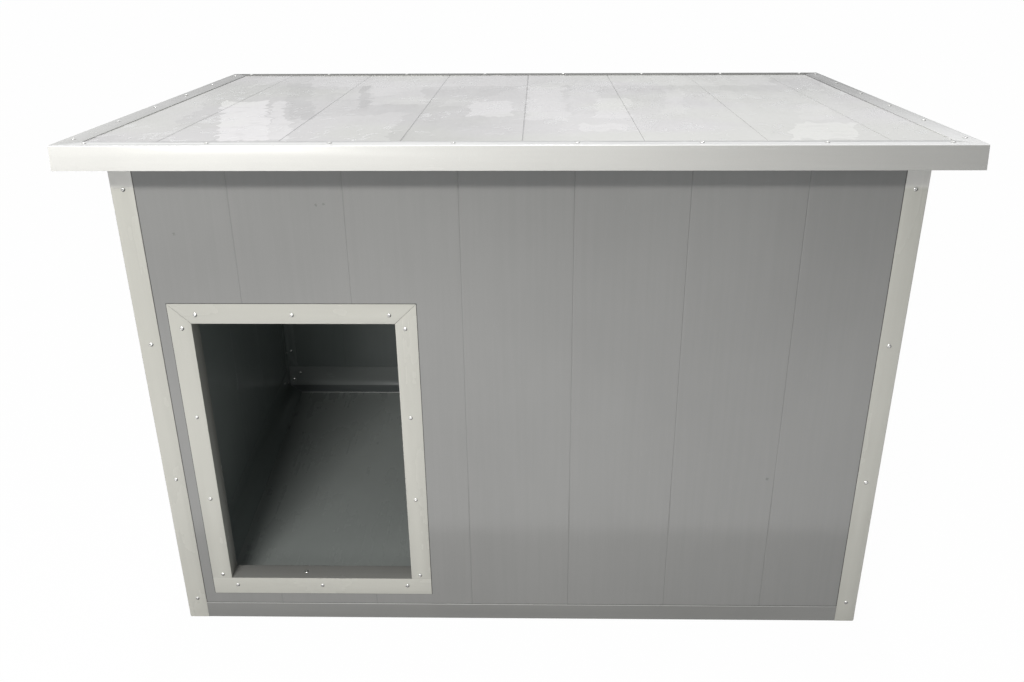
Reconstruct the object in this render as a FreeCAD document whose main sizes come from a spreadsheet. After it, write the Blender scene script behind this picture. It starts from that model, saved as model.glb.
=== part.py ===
import FreeCAD, Part
import os

import Sketcher

# An insulated dog house of sandwich panels, in millimetres.
#
# Frame: +X to the right, +Y to the rear, +Z up. The origin is on the ground, in the middle of the
# roof's outline, which is the outline of the whole house seen from above.
# The four walls, the floor and the roof are panels of two steel sheets on a foam core. The walls
# are mitred at the corners and stand in folded base rails, whose ledges carry the floor. Angle
# trims close the corners inside and outside, strips and linings close the doorway, and the roof
# rests on a seal and turns on three hinges at the rear, so that it lifts for cleaning.

SIZES = (
    ("body_width", 1400, "width over the outer faces of the side walls"),
    ("body_depth", 900, "depth over the outer faces of the front and back walls"),
    ("front_height", 1010, "height of the front wall's outer face above the ground"),
    ("back_height", 880, "height of the back wall's outer face above the ground"),
    ("floor_height", 64, "height of the floor's walking face above the ground"),
    ("panel_thickness", 40, "thickness of every sandwich panel"),
    ("sheet_thickness", 0.6, "thickness of the steel sheet on each face of a panel"),
    ("fit_gap", 0.5, "gap round a panel or profile that is fitted between others"),
    ("groove_pitch", 200, "distance between the pressed grooves of a panel"),
    ("groove_width", 3, "width of a pressed groove at the face of the sheet"),
    ("groove_depth", 0.4, "depth of a pressed groove"),
    ("roof_first_groove", 160, "distance of the roof's first groove from its left edge"),
    ("roof_front_overhang", 100, "roof panel in front of the walls, along the slope"),
    ("roof_back_overhang", 100, "roof panel behind the walls, along the slope"),
    ("roof_side_overhang", 48.8, "roof panel beyond each side wall"),
    ("trim_thickness", 1.2, "sheet of the angle trims and strips"),
    ("corner_leg", 40, "leg of the angle trim on an outside corner"),
    ("roof_trim_leg", 40, "leg of the roof's edge trim on top of the roof"),
    ("inner_corner_leg", 25, "leg of the angle trim in an inside corner"),
    ("skirting_wall_leg", 60, "leg of the skirting angle on the wall"),
    ("skirting_floor_leg", 40, "leg of the skirting angle on the floor"),
    ("base_thickness", 1.2, "sheet of the base rails"),
    ("base_leg", 38, "height of a base rail's outer leg"),
    ("ledge_width", 30, "ledge of a base rail under the floor"),
    ("seal_thickness", 3, "roof seal as the closed roof presses it"),
    ("seal_width", 20, "width of the roof seal"),
    ("door_left", 61, "left wall's outer face to the outer edge of the doorway's strips"),
    ("door_bottom", 65, "ground to the outer edge of the doorway's strips"),
    ("door_width", 455, "width over the doorway's strips"),
    ("door_height", 675, "height over the doorway's strips"),
    ("strip_width", 40, "width of a strip round the doorway"),
    ("lining_thickness", 1, "sheet of the doorway's lining"),
    ("lining_flange", 15, "flange of the lining on the wall's inner face"),
    ("rivet_head_radius", 4, "radius of a rivet's domed head"),
    ("rivet_head_height", 1.8, "height of a rivet's domed head"),
    ("rivet_shank_radius", 2, "radius of a rivet's shank"),
    ("rivet_length", 7, "length of a rivet's shank under its head"),
    ("rivet_clearance", 0.05, "radial gap between a rivet's shank and its hole"),
    ("rivet_inset", 22, "outer edge of a trim or strip to its row of rivets"),
    ("rivet_margin", 50, "end of a trim or strip to its first rivet"),
    ("roof_side_inset", 15, "outer edge of the roof's side trims to their rivets"),
    ("roof_side_first", 65, "front edge of the roof to the first rivet of a side trim"),
    ("sill_rivet_place", 152, "left edge of the opening to the sill's rivet"),
    ("hinge_inset", 200, "outer face of a side wall to the middle of the hinge beside it"),
    ("hinge_length", 100, "length of a hinge along its pin"),
    ("hinge_leaf_width", 30, "pin's axis to the free edge of a hinge leaf"),
    ("hinge_leaf_thickness", 2, "thickness of a hinge leaf"),
    ("hinge_rivet_pitch", 35, "distance between the rivets of a hinge leaf"),
    ("knuckle_radius", 5, "outer radius of a hinge knuckle"),
    ("knuckle_gap", 0.3, "gap beside and between hinge knuckles"),
    ("pin_radius", 2.5, "radius of a hinge pin"),
    ("pin_clearance", 0.05, "radial gap between a hinge pin and its knuckles"),
)

CORNER_RIVETS = 4
DOOR_SIDE_RIVETS = 4
DOOR_END_RIVETS = 3
ROOF_END_RIVETS = 8
ROOF_SIDE_RIVETS = 6
INNER_CORNER_RIVETS = 3
LINING_RIVETS = 3
HINGE_KNUCKLES = 5

SIDES = ("front", "back", "left", "right")
CORNERS = {
    "front_left": (-1, -1),
    "front_right": (1, -1),
    "back_left": (-1, 1),
    "back_right": (1, 1),
}

# The roof's slope: its underside runs along the wall tops, which fall from the front to the back.
HALF_WIDTH = "(Sizes.body_width / 2)"
HALF_DEPTH = "(Sizes.body_depth / 2)"
FALL = "(Sizes.front_height - Sizes.back_height)"
SLOPE_LENGTH = f"hypot(Sizes.body_depth; {FALL})"
SLOPE_COS = f"(Sizes.body_depth / {SLOPE_LENGTH})"
SLOPE_SIN = f"({FALL} / {SLOPE_LENGTH})"
SLOPE_TAN = f"({FALL} / Sizes.body_depth)"

# The walls' own frame has its origin in the middle of their plan. It lies behind the house's
# origin by this much, which puts the middle of the whole outline on the origin.
ROOF_STACK = "(Sizes.panel_thickness + Sizes.trim_thickness)"
OVERHANG_SHIFT = f"((Sizes.roof_front_overhang - Sizes.roof_back_overhang) * {SLOPE_COS})"
WALLS_Y = f"(({OVERHANG_SHIFT} - {ROOF_STACK} * {SLOPE_SIN}) / 2)"

# The roof's own frame has its origin in the middle of the panel's underside: +X to the right,
# +Y down the slope to the rear, +Z square to the panel.
ROOF_HALF_WIDTH = f"({HALF_WIDTH} + Sizes.roof_side_overhang)"
ROOF_HALF_LENGTH = f"(({SLOPE_LENGTH} + Sizes.roof_front_overhang + Sizes.roof_back_overhang) / 2)"
ROOF_MIDDLE = f"(({SLOPE_LENGTH} + Sizes.roof_back_overhang - Sizes.roof_front_overhang) / 2)"
ROOF_Y = f"({WALLS_Y} - {HALF_DEPTH} + {ROOF_MIDDLE} * {SLOPE_COS})"
SEAL_RISE = f"(Sizes.seal_thickness / {SLOPE_COS})"
ROOF_Z = f"(Sizes.front_height + {SEAL_RISE} - {ROOF_MIDDLE} * {SLOPE_SIN})"
WALLS_MIDDLE_ON_ROOF = f"({SLOPE_LENGTH} / 2 - {ROOF_MIDDLE})"

# Each hinge pin lies just behind the back wall and just under the roof.
PIN_OFFSET = "(Sizes.knuckle_radius + Sizes.knuckle_gap)"
PIN_Y = f"({WALLS_Y} + {HALF_DEPTH} + {PIN_OFFSET})"
PIN_DROP = f"({PIN_OFFSET} * {SLOPE_TAN} + {PIN_OFFSET} / {SLOPE_COS})"
PIN_Z = f"(Sizes.back_height + {SEAL_RISE} - {PIN_DROP})"
LEAF_START = "(Sizes.knuckle_radius + 2 * Sizes.knuckle_gap)"
HINGE_PLACES = {
    "left": f"(Sizes.hinge_inset - {HALF_WIDTH})",
    "middle": "0",
    "right": f"({HALF_WIDTH} - Sizes.hinge_inset)",
}

# Heights and places inside the walls.
TALL = "(Sizes.front_height + Sizes.back_height)"
LEDGE_HEIGHT = "(Sizes.floor_height - Sizes.panel_thickness)"
SHEET = "Sizes.sheet_thickness"
CORE_END = "(Sizes.panel_thickness - Sizes.sheet_thickness)"
PANEL = "Sizes.panel_thickness"
TRIM = "Sizes.trim_thickness"
BASE = "Sizes.base_thickness"
LINING = "Sizes.lining_thickness"

# The doorway: the outer edges of its strips, then the clear opening inside them.
DOOR_X0 = f"(Sizes.door_left - {HALF_WIDTH})"
DOOR_X1 = f"({DOOR_X0} + Sizes.door_width)"
DOOR_Z0 = "Sizes.door_bottom"
DOOR_Z1 = "(Sizes.door_bottom + Sizes.door_height)"
OPENING_X0 = f"({DOOR_X0} + Sizes.strip_width)"
OPENING_X1 = f"({DOOR_X1} - Sizes.strip_width)"
OPENING_Z0 = f"({DOOR_Z0} + Sizes.strip_width)"
OPENING_Z1 = f"({DOOR_Z1} - Sizes.strip_width)"
LINING_REACH = "(Sizes.lining_thickness + Sizes.lining_flange)"
FRONT_SKIRTING_TOP = f"({OPENING_Z0} - {LINING_REACH} - Sizes.fit_gap)"
FRONT_SKIRTING_LEG = f"({FRONT_SKIRTING_TOP} - Sizes.floor_height)"

DOC = FreeCAD.newDocument("dog_house")
TABLE = DOC.addObject("Spreadsheet::Sheet", "Sizes")
NODES = {}


def fill_table():
    for row, (alias, number, meaning) in enumerate(SIZES, start=1):
        TABLE.set(f"A{row}", alias)
        TABLE.set(f"B{row}", str(number))
        TABLE.set(f"C{row}", meaning)
        TABLE.setAlias(f"B{row}", alias)
    DOC.recompute()


def value(expression):
    """The number that an expression of the sheet's sizes has now."""
    found = TABLE.evalExpression(expression)
    return float(getattr(found, "Value", found))


def vector(x, y, z):
    """A point or direction from three expressions."""
    return FreeCAD.Vector(value(x), value(y), value(z))


# ---------------------------------------------------------------- placing and basic features


def stand_in_walls(item):
    item.setExpression("Placement.Base.y", WALLS_Y)


def slope_rotation():
    return FreeCAD.Rotation(FreeCAD.Vector(-1, 0, 0), value(f"atan({SLOPE_TAN})"))


def tilt(item):
    item.Placement = FreeCAD.Placement(FreeCAD.Vector(), slope_rotation())
    item.setExpression("Placement.Rotation.Angle", f"atan({SLOPE_TAN})")


def lie_on_roof(item):
    tilt(item)
    item.setExpression("Placement.Base.y", ROOF_Y)
    item.setExpression("Placement.Base.z", ROOF_Z)


def walls_placement():
    return FreeCAD.Placement(vector("0", WALLS_Y, "0"), FreeCAD.Rotation())


def roof_placement():
    return FreeCAD.Placement(vector("0", ROOF_Y, ROOF_Z), slope_rotation())


def new_body(name, place):
    body = DOC.addObject("PartDesign::Body", name)
    body.Label = name
    place(body)
    NODES[name] = body
    return body


def origin_feature(body, role):
    return next(item for item in body.Origin.OriginFeatures if item.Role == role)


def sketch_polygons(body, name, role, polygons, lift="0"):
    """Closed polygons on an origin plane, raised by lift; every corner is bound to the sheet."""
    sketch = body.newObject("Sketcher::SketchObject", name)
    sketch.AttachmentSupport = [(origin_feature(body, role), "")]
    sketch.MapMode = "FlatFace"
    sketch.setExpression("AttachmentOffset.Base.z", lift)
    for corners in polygons:
        first = sketch.GeometryCount
        points = [vector(across, up, "0") for across, up in corners]
        lines = [Part.LineSegment(a, b) for a, b in zip(points, points[1:] + points[:1])]
        sketch.addGeometry(lines, False)
        joints = []
        datums = []
        for index, (point, (across, up)) in enumerate(zip(points, corners)):
            line = first + index
            next_line = first + (index + 1) % len(corners)
            joints.append(Sketcher.Constraint("Coincident", line, 2, next_line, 1))
            datums.append((Sketcher.Constraint("DistanceX", -1, 1, line, 1, point.x), across))
            datums.append((Sketcher.Constraint("DistanceY", -1, 1, line, 1, point.y), up))
        sketch.addConstraint(joints)
        numbers = sketch.addConstraint([constraint for constraint, _ in datums])
        for number, (_, expression) in zip(numbers, datums):
            sketch.setExpression(f"Constraints[{number}]", expression)
    return sketch


def pad(body, sketch, length, side_type="One side", backwards=False):
    feature = body.newObject("PartDesign::Pad", "pad")
    feature.Profile = sketch
    feature.SideType = side_type
    feature.Reversed = backwards
    feature.setExpression("Length", length)
    body.Tip = feature
    return feature


def cut_through(body, sketch):
    """Cut a sketch's outline through the whole body, both ways from its plane."""
    feature = body.newObject("PartDesign::Pocket", "cut")
    feature.Profile = sketch
    feature.Type = "ThroughAll"
    feature.SideType = "Symmetric"
    body.Tip = feature
    return feature


def repeat(body, feature, axis_role, pitch, count):
    pattern = body.newObject("PartDesign::LinearPattern", "repeat")
    pattern.Originals = [feature]
    pattern.Direction = (origin_feature(body, axis_role), [""])
    pattern.Mode = "Spacing"
    pattern.setExpression("Offset", pitch)
    pattern.setExpression("Occurrences", count)
    body.Tip = pattern


# ---------------------------------------------------------------- plan shapes


def box_corners(x0, x1, y0, y1):
    return [(x0, y0), (x1, y0), (x1, y1), (x0, y1)]


def ring_strip(side, half_x, half_y, outer, inner, middle_y="0"):
    """One mitred side of a rectangular ring, between two distances in from the rectangle."""
    far_x, far_y = f"({half_x} - {outer})", f"({half_y} - {outer})"
    near_x, near_y = f"({half_x} - {inner})", f"({half_y} - {inner})"
    if side in ("front", "back"):
        sign = "-1" if side == "front" else "1"
        corners = [(f"-{far_x}", far_y), (far_x, far_y), (near_x, near_y), (f"-{near_x}", near_y)]
        return [(x, f"({middle_y} + {sign} * {y})") for x, y in corners]
    sign = "-1" if side == "left" else "1"
    corners = [(far_x, f"-{far_y}"), (far_x, far_y), (near_x, near_y), (near_x, f"-{near_y}")]
    return [(f"({sign} * {x})", f"({middle_y} + {y})") for x, y in corners]


def corner_angle(signs, corner_x, corner_y, leg, thickness):
    """An angle's section: its two legs run back along X and Y from the corner of its heel."""
    sign_x, sign_y = signs
    steps = (
        ("0", "0"),
        (leg, "0"),
        (leg, thickness),
        (thickness, thickness),
        (thickness, leg),
        ("0", leg),
    )
    return [(f"({sign_x} * ({corner_x} - {x}))", f"({sign_y} * ({corner_y} - {y}))") for x, y in steps]


def opening_strip(side, inner, outer):
    """One mitred side of a ring round the clear opening, between two distances out from it."""
    left = [f"({OPENING_X0} - {reach})" for reach in (inner, outer)]
    right = [f"({OPENING_X1} + {reach})" for reach in (inner, outer)]
    low = [f"({OPENING_Z0} - {reach})" for reach in (inner, outer)]
    high = [f"({OPENING_Z1} + {reach})" for reach in (inner, outer)]
    return {
        "left": [(left[0], low[0]), (left[0], high[0]), (left[1], high[1]), (left[1], low[1])],
        "right": [(right[0], low[0]), (right[0], high[0]), (right[1], high[1]), (right[1], low[1])],
        "top": [(left[0], high[0]), (right[0], high[0]), (right[1], high[1]), (left[1], high[1])],
        "bottom": [(left[0], low[0]), (right[0], low[0]), (right[1], low[1]), (left[1], low[1])],
    }[side]


# ---------------------------------------------------------------- walls


def slope_cut(body):
    """Cut an upright piece off along the line of the wall tops."""
    reach = "Sizes.body_depth"
    heights = [f"(Sizes.front_height - {SLOPE_TAN} * ({y} + {HALF_DEPTH}))" for y in (f"-{reach}", reach)]
    high = f"(2 * {TALL})"
    corners = [(f"-{reach}", heights[0]), (reach, heights[1]), (reach, high), (f"-{reach}", high)]
    sketch = sketch_polygons(body, "above_the_wall_tops", "YZ_Plane", [corners])
    cut_through(body, sketch)


def doorway_cut(body):
    corners = [
        (f"({OPENING_X0} - {LINING})", f"({OPENING_Z0} - {LINING})"),
        (f"({OPENING_X1} + {LINING})", f"({OPENING_Z0} - {LINING})"),
        (f"({OPENING_X1} + {LINING})", f"({OPENING_Z1} + {LINING})"),
        (f"({OPENING_X0} - {LINING})", f"({OPENING_Z1} + {LINING})"),
    ]
    sketch = sketch_polygons(body, "doorway", "XZ_Plane", [corners])
    cut_through(body, sketch)


def wall_grooves(body, side, face, into):
    """Upright grooves in a wall sheet; face is the face's distance in, into -1 or 1 from it."""
    bottom = f"({face} + {into} * Sizes.groove_depth)"
    half = "Sizes.groove_width / 2"
    if side in ("front", "back"):
        sign = "-1" if side == "front" else "1"
        first = f"(Sizes.groove_pitch - {HALF_WIDTH})"
        face_y = f"({sign} * ({HALF_DEPTH} - {face}))"
        bottom_y = f"({sign} * ({HALF_DEPTH} - {bottom}))"
        corners = [(f"({first} - {half})", face_y), (f"({first} + {half})", face_y), (first, bottom_y)]
        axis, length = "X_Axis", "Sizes.body_width"
    else:
        sign = "-1" if side == "left" else "1"
        first = f"(Sizes.groove_pitch - {HALF_DEPTH})"
        face_x = f"({sign} * ({HALF_WIDTH} - {face}))"
        bottom_x = f"({sign} * ({HALF_WIDTH} - {bottom}))"
        corners = [(face_x, f"({first} - {half})"), (face_x, f"({first} + {half})"), (bottom_x, first)]
        axis, length = "Y_Axis", "Sizes.body_depth"
    sketch = sketch_polygons(body, "groove", "XY_Plane", [corners])
    groove = cut_through(body, sketch)
    repeat(body, groove, axis, "Sizes.groove_pitch", f"ceil({length} / Sizes.groove_pitch) - 1")


def wall_layer(name, side, outer, inner):
    """One layer of a wall panel, between two distances in from the wall's outer face."""
    body = new_body(name, stand_in_walls)
    plan = ring_strip(side, HALF_WIDTH, HALF_DEPTH, outer, inner)
    sketch = sketch_polygons(body, "plan", "XY_Plane", [plan], lift=BASE)
    pad(body, sketch, TALL)
    slope_cut(body)
    if side == "front":
        doorway_cut(body)
    return body


def make_wall(side):
    outer = wall_layer(f"{side}_wall_outer_sheet", side, "0", SHEET)
    wall_grooves(outer, side, "0", 1)
    wall_layer(f"{side}_wall_foam", side, SHEET, CORE_END)
    inner = wall_layer(f"{side}_wall_inner_sheet", side, CORE_END, PANEL)
    wall_grooves(inner, side, PANEL, -1)


# ---------------------------------------------------------------- base rails and floor


def make_base_rail(side):
    """A folded rail: outer leg, web under the wall, inner leg, and a ledge that carries the floor."""
    body = new_body(f"base_rail_{side}", stand_in_walls)
    under_wall = f"({PANEL} + {BASE})"
    ledge_end = f"({PANEL} + Sizes.ledge_width)"

    def strip(name, outer, inner, foot, height):
        plan = ring_strip(side, HALF_WIDTH, HALF_DEPTH, outer, inner)
        sketch = sketch_polygons(body, name, "XY_Plane", [plan], lift=foot)
        pad(body, sketch, height)

    strip("web", "0", under_wall, "0", BASE)
    strip("inner_leg", PANEL, under_wall, "0", LEDGE_HEIGHT)
    strip("ledge", PANEL, ledge_end, f"({LEDGE_HEIGHT} - {BASE})", BASE)

    # the outer leg stops at the corner trims, which run down to the ground
    stop = f"(Sizes.corner_leg - {TRIM})"
    if side in ("front", "back"):
        sign = "-1" if side == "front" else "1"
        half, wall = f"({HALF_WIDTH} - {stop})", HALF_DEPTH
        plan = box_corners(f"-{half}", half, f"({sign} * {wall})", f"({sign} * ({wall} + {BASE}))")
    else:
        sign = "-1" if side == "left" else "1"
        half, wall = f"({HALF_DEPTH} - {stop})", HALF_WIDTH
        plan = box_corners(f"({sign} * {wall})", f"({sign} * ({wall} + {BASE}))", f"-{half}", half)
    pad(body, sketch_polygons(body, "outer_leg", "XY_Plane", [plan]), "Sizes.base_leg")


def make_floor():
    inset = f"({PANEL} + Sizes.fit_gap)"
    half_x, half_y = f"({HALF_WIDTH} - {inset})", f"({HALF_DEPTH} - {inset})"
    plan = box_corners(f"-{half_x}", half_x, f"-{half_y}", half_y)
    layers = (
        ("floor_bottom_sheet", "0", SHEET),
        ("floor_foam", SHEET, CORE_END),
        ("floor_top_sheet", CORE_END, PANEL),
    )
    for name, low, high in layers:
        body = new_body(name, stand_in_walls)
        sketch = sketch_polygons(body, "plan", "XY_Plane", [plan], lift=f"({LEDGE_HEIGHT} + {low})")
        pad(body, sketch, f"({high} - {low})")


# ---------------------------------------------------------------- trims on the walls


def make_corner_trim(corner):
    body = new_body(f"corner_trim_{corner}", stand_in_walls)
    heel_x, heel_y = f"({HALF_WIDTH} + {TRIM})", f"({HALF_DEPTH} + {TRIM})"
    plan = corner_angle(CORNERS[corner], heel_x, heel_y, "Sizes.corner_leg", TRIM)
    pad(body, sketch_polygons(body, "section", "XY_Plane", [plan]), TALL)
    slope_cut(body)


def make_inner_corner(corner):
    """An angle in an inside corner, standing on the skirting."""
    body = new_body(f"inner_corner_{corner}", stand_in_walls)
    heel_x, heel_y = f"({HALF_WIDTH} - {PANEL})", f"({HALF_DEPTH} - {PANEL})"
    plan = corner_angle(CORNERS[corner], heel_x, heel_y, "Sizes.inner_corner_leg", TRIM)
    foot = "(Sizes.floor_height + Sizes.skirting_wall_leg)"
    pad(body, sketch_polygons(body, "section", "XY_Plane", [plan], lift=foot), TALL)
    slope_cut(body)


def make_skirting(side):
    """An angle over the joint between the floor and a wall; the front one stays under the sill."""
    body = new_body(f"skirting_{side}", stand_in_walls)
    wall_leg = FRONT_SKIRTING_LEG if side == "front" else "Sizes.skirting_wall_leg"
    legs = (
        ("wall_leg", f"({PANEL} + {TRIM})", wall_leg),
        ("floor_leg", f"({PANEL} + Sizes.skirting_floor_leg)", TRIM),
    )
    for name, inner, height in legs:
        plan = ring_strip(side, HALF_WIDTH, HALF_DEPTH, PANEL, inner)
        sketch = sketch_polygons(body, name, "XY_Plane", [plan], lift="Sizes.floor_height")
        pad(body, sketch, height)


# ---------------------------------------------------------------- doorway


def make_doorway_strips():
    """Flat strips on the front face: mitred above, and the side strips stand on the bottom one."""
    width = "Sizes.strip_width"
    plans = {
        "top": [(DOOR_X0, DOOR_Z1), (DOOR_X1, DOOR_Z1), (OPENING_X1, OPENING_Z1), (OPENING_X0, OPENING_Z1)],
        "left": [(DOOR_X0, DOOR_Z1), (OPENING_X0, OPENING_Z1), (OPENING_X0, OPENING_Z0), (DOOR_X0, OPENING_Z0)],
        "right": [(DOOR_X1, DOOR_Z1), (OPENING_X1, OPENING_Z1), (OPENING_X1, OPENING_Z0), (DOOR_X1, OPENING_Z0)],
        "bottom": box_corners(DOOR_X0, DOOR_X1, DOOR_Z0, f"({DOOR_Z0} + {width})"),
    }
    for side, plan in plans.items():
        body = new_body(f"doorway_strip_{side}", stand_in_walls)
        sketch = sketch_polygons(body, "face", "XZ_Plane", [plan], lift=HALF_DEPTH)
        pad(body, sketch, TRIM)


def make_doorway_lining():
    """Angles over the cut edge of the front wall, with their flanges on its inner face."""
    names = {
        "left": "doorway_lining_left",
        "right": "doorway_lining_right",
        "top": "doorway_lining_top",
        "bottom": "doorway_sill",
    }
    for side, name in names.items():
        body = new_body(name, stand_in_walls)
        web = sketch_polygons(body, "web", "XZ_Plane", [opening_strip(side, "0", LINING)], lift=HALF_DEPTH)
        pad(body, web, PANEL, backwards=True)
        behind = f"({HALF_DEPTH} - {PANEL})"
        flange_plan = opening_strip(side, "0", LINING_REACH)
        flange = sketch_polygons(body, "flange", "XZ_Plane", [flange_plan], lift=behind)
        pad(body, flange, LINING, backwards=True)


# ---------------------------------------------------------------- roof


def roof_grooves(body, face, into):
    """Grooves down the slope in a roof sheet; face is its height over the underside."""
    first = f"(Sizes.roof_first_groove - {ROOF_HALF_WIDTH})"
    half = "Sizes.groove_width / 2"
    bottom = f"({face} + {into} * Sizes.groove_depth)"
    corners = [(f"({first} - {half})", face), (f"({first} + {half})", face), (first, bottom)]
    groove = cut_through(body, sketch_polygons(body, "groove", "XZ_Plane", [corners]))
    count = f"ceil((2 * {ROOF_HALF_WIDTH} - Sizes.roof_first_groove) / Sizes.groove_pitch)"
    repeat(body, groove, "X_Axis", "Sizes.groove_pitch", count)


def make_roof_panel():
    layers = (
        ("roof_ceiling_sheet", "0", SHEET),
        ("roof_foam", SHEET, CORE_END),
        ("roof_top_sheet", CORE_END, PANEL),
    )
    plan = box_corners(
        f"-{ROOF_HALF_WIDTH}", ROOF_HALF_WIDTH, f"-{ROOF_HALF_LENGTH}", ROOF_HALF_LENGTH
    )
    for name, low, high in layers:
        body = new_body(name, lie_on_roof)
        sketch = sketch_polygons(body, "plan", "XY_Plane", [plan], lift=low)
        pad(body, sketch, f"({high} - {low})")
        if name == "roof_top_sheet":
            roof_grooves(body, PANEL, -1)


def make_roof_trim(side):
    """An edge angle: one leg on top of the roof, one down over the panel's edge."""
    body = new_body(f"roof_trim_{side}", lie_on_roof)
    outside = f"(-1 * {TRIM})"
    legs = (
        ("edge_leg", outside, "0", "0", ROOF_STACK),
        ("top_leg", outside, f"(Sizes.roof_trim_leg - {TRIM})", PANEL, TRIM),
    )
    for name, outer, inner, foot, height in legs:
        plan = ring_strip(side, ROOF_HALF_WIDTH, ROOF_HALF_LENGTH, outer, inner)
        pad(body, sketch_polygons(body, name, "XY_Plane", [plan], lift=foot), height)


def make_roof_seal():
    """One loop of foam strip along the middle of the wall tops."""
    body = new_body("roof_seal", lie_on_roof)
    outer = f"(({PANEL} - Sizes.seal_width) / 2)"
    loops = []
    for inset in (outer, f"({outer} + Sizes.seal_width)"):
        half_x, half_y = f"({HALF_WIDTH} - {inset})", f"({SLOPE_LENGTH} / 2 - {inset})"
        middle = WALLS_MIDDLE_ON_ROOF
        loops.append(box_corners(f"-{half_x}", half_x, f"({middle} - {half_y})", f"({middle} + {half_y})"))
    pad(body, sketch_polygons(body, "loop", "XY_Plane", loops), "Sizes.seal_thickness", backwards=True)


# ---------------------------------------------------------------- hinges


def solid_box(body, x0, y0, z0, length, width, height):
    box = body.newObject("PartDesign::AdditiveBox", "plate")
    for name, expression in (("Length", length), ("Width", width), ("Height", height)):
        box.setExpression(name, expression)
    for axis, expression in (("x", x0), ("y", y0), ("z", z0)):
        box.setExpression(f"Placement.Base.{axis}", expression)
    body.Tip = box


def cylinder_along_x(body, kind, x0, radius, length):
    cylinder = body.newObject(kind, "round")
    cylinder.Placement = FreeCAD.Placement(
        FreeCAD.Vector(), FreeCAD.Rotation(FreeCAD.Vector(0, 1, 0), 90)
    )
    cylinder.setExpression("Placement.Base.x", x0)
    cylinder.setExpression("Radius", radius)
    cylinder.setExpression("Height", length)
    body.Tip = cylinder


def make_leaf(name, hinge, on_roof):
    """A hinge leaf in its pin's own frame: plate against what carries it, knuckles round the pin."""
    body = DOC.addObject("PartDesign::Body", name)
    body.Label = name
    NODES[name] = body
    if on_roof:
        tilt(body)
    body.setExpression("Placement.Base.x", HINGE_PLACES[hinge])
    body.setExpression("Placement.Base.y", PIN_Y)
    body.setExpression("Placement.Base.z", PIN_Z)

    leaf = "Sizes.hinge_leaf_thickness"
    width = f"(Sizes.hinge_leaf_width - {LEAF_START})"
    left_end = "(-1 * Sizes.hinge_length / 2)"
    if on_roof:
        face = f"({PIN_OFFSET} - {leaf})"
        solid_box(body, left_end, LEAF_START, face, "Sizes.hinge_length", width, leaf)
    else:
        face = f"(-1 * {PIN_OFFSET})"
        foot = "(-1 * Sizes.hinge_leaf_width)"
        solid_box(body, left_end, face, foot, "Sizes.hinge_length", leaf, width)

    step = f"((Sizes.hinge_length + Sizes.knuckle_gap) / {HINGE_KNUCKLES})"
    length = f"({step} - Sizes.knuckle_gap)"
    for knuckle in range(1 if on_roof else 0, HINGE_KNUCKLES, 2):
        start = f"({left_end} + {knuckle} * {step})"
        cylinder_along_x(body, "PartDesign::AdditiveCylinder", start, "Sizes.knuckle_radius", length)
        if on_roof:
            solid_box(body, start, "0", face, length, LEAF_START, leaf)
        else:
            solid_box(body, start, face, f"(-1 * {LEAF_START})", length, leaf, LEAF_START)
    bore = "(Sizes.pin_radius + Sizes.pin_clearance)"
    cylinder_along_x(body, "PartDesign::SubtractiveCylinder", left_end, bore, "Sizes.hinge_length")


def make_hinge_pins():
    pins = []
    for hinge, place in HINGE_PLACES.items():
        pin = DOC.addObject("Part::Cylinder", f"pin_{hinge}")
        pin.Placement = FreeCAD.Placement(
            FreeCAD.Vector(), FreeCAD.Rotation(FreeCAD.Vector(0, 1, 0), 90)
        )
        pin.setExpression("Placement.Base.x", f"({place} - Sizes.hinge_length / 2)")
        pin.setExpression("Placement.Base.y", PIN_Y)
        pin.setExpression("Placement.Base.z", PIN_Z)
        pin.setExpression("Radius", "Sizes.pin_radius")
        pin.setExpression("Height", "Sizes.hinge_length")
        pins.append(pin)
    group = DOC.addObject("Part::Compound", "hinge_pins")
    group.Label = "hinge_pins"
    group.Links = pins
    NODES["hinge_pins"] = group


# ---------------------------------------------------------------- rivets


def rivet_solid():
    """A domed rivet: its head stands on the plane Z = 0, its shank reaches down from it."""
    head = value("Sizes.rivet_head_radius")
    rise = value("Sizes.rivet_head_height")
    shank = value("Sizes.rivet_shank_radius")
    foot = -value("Sizes.rivet_length")
    dome_radius = (head * head + rise * rise) / (2 * rise)
    half_head = head / 2
    half_rise = rise - dome_radius + (dome_radius**2 - half_head**2) ** 0.5
    dome = Part.Arc(
        FreeCAD.Vector(head, 0, 0),
        FreeCAD.Vector(half_head, 0, half_rise),
        FreeCAD.Vector(0, 0, rise),
    )
    points = [(0, rise), (0, foot), (shank, foot), (shank, 0), (head, 0)]
    places = [FreeCAD.Vector(across, 0, up) for across, up in points]
    edges = [Part.LineSegment(a, b).toShape() for a, b in zip(places, places[1:])]
    outline = Part.Wire(edges + [dome.toShape()])
    return Part.Face(outline).revolve(FreeCAD.Vector(), FreeCAD.Vector(0, 0, 1), 360)


def hole_solid():
    radius = value("Sizes.rivet_shank_radius + Sizes.rivet_clearance")
    depth = value("Sizes.rivet_length")
    return Part.makeCylinder(radius, depth, FreeCAD.Vector(0, 0, -depth))


def row(start, end, count, outward):
    """Rivet places evenly spaced from one point to another, with their heads outward."""
    step = (end - start) / (count - 1)
    return [(start + step * number, outward) for number in range(count)]


def set_group(label, solid, places, frame):
    shapes = []
    for point, outward in places:
        turn = FreeCAD.Rotation(FreeCAD.Vector(0, 0, 1), outward)
        shapes.append(solid.transformed(FreeCAD.Placement(point, turn).toMatrix()))
    group = DOC.addObject("Part::Feature", label)
    group.Label = label
    group.Shape = Part.Compound(shapes)
    group.Placement = frame
    return group


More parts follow.
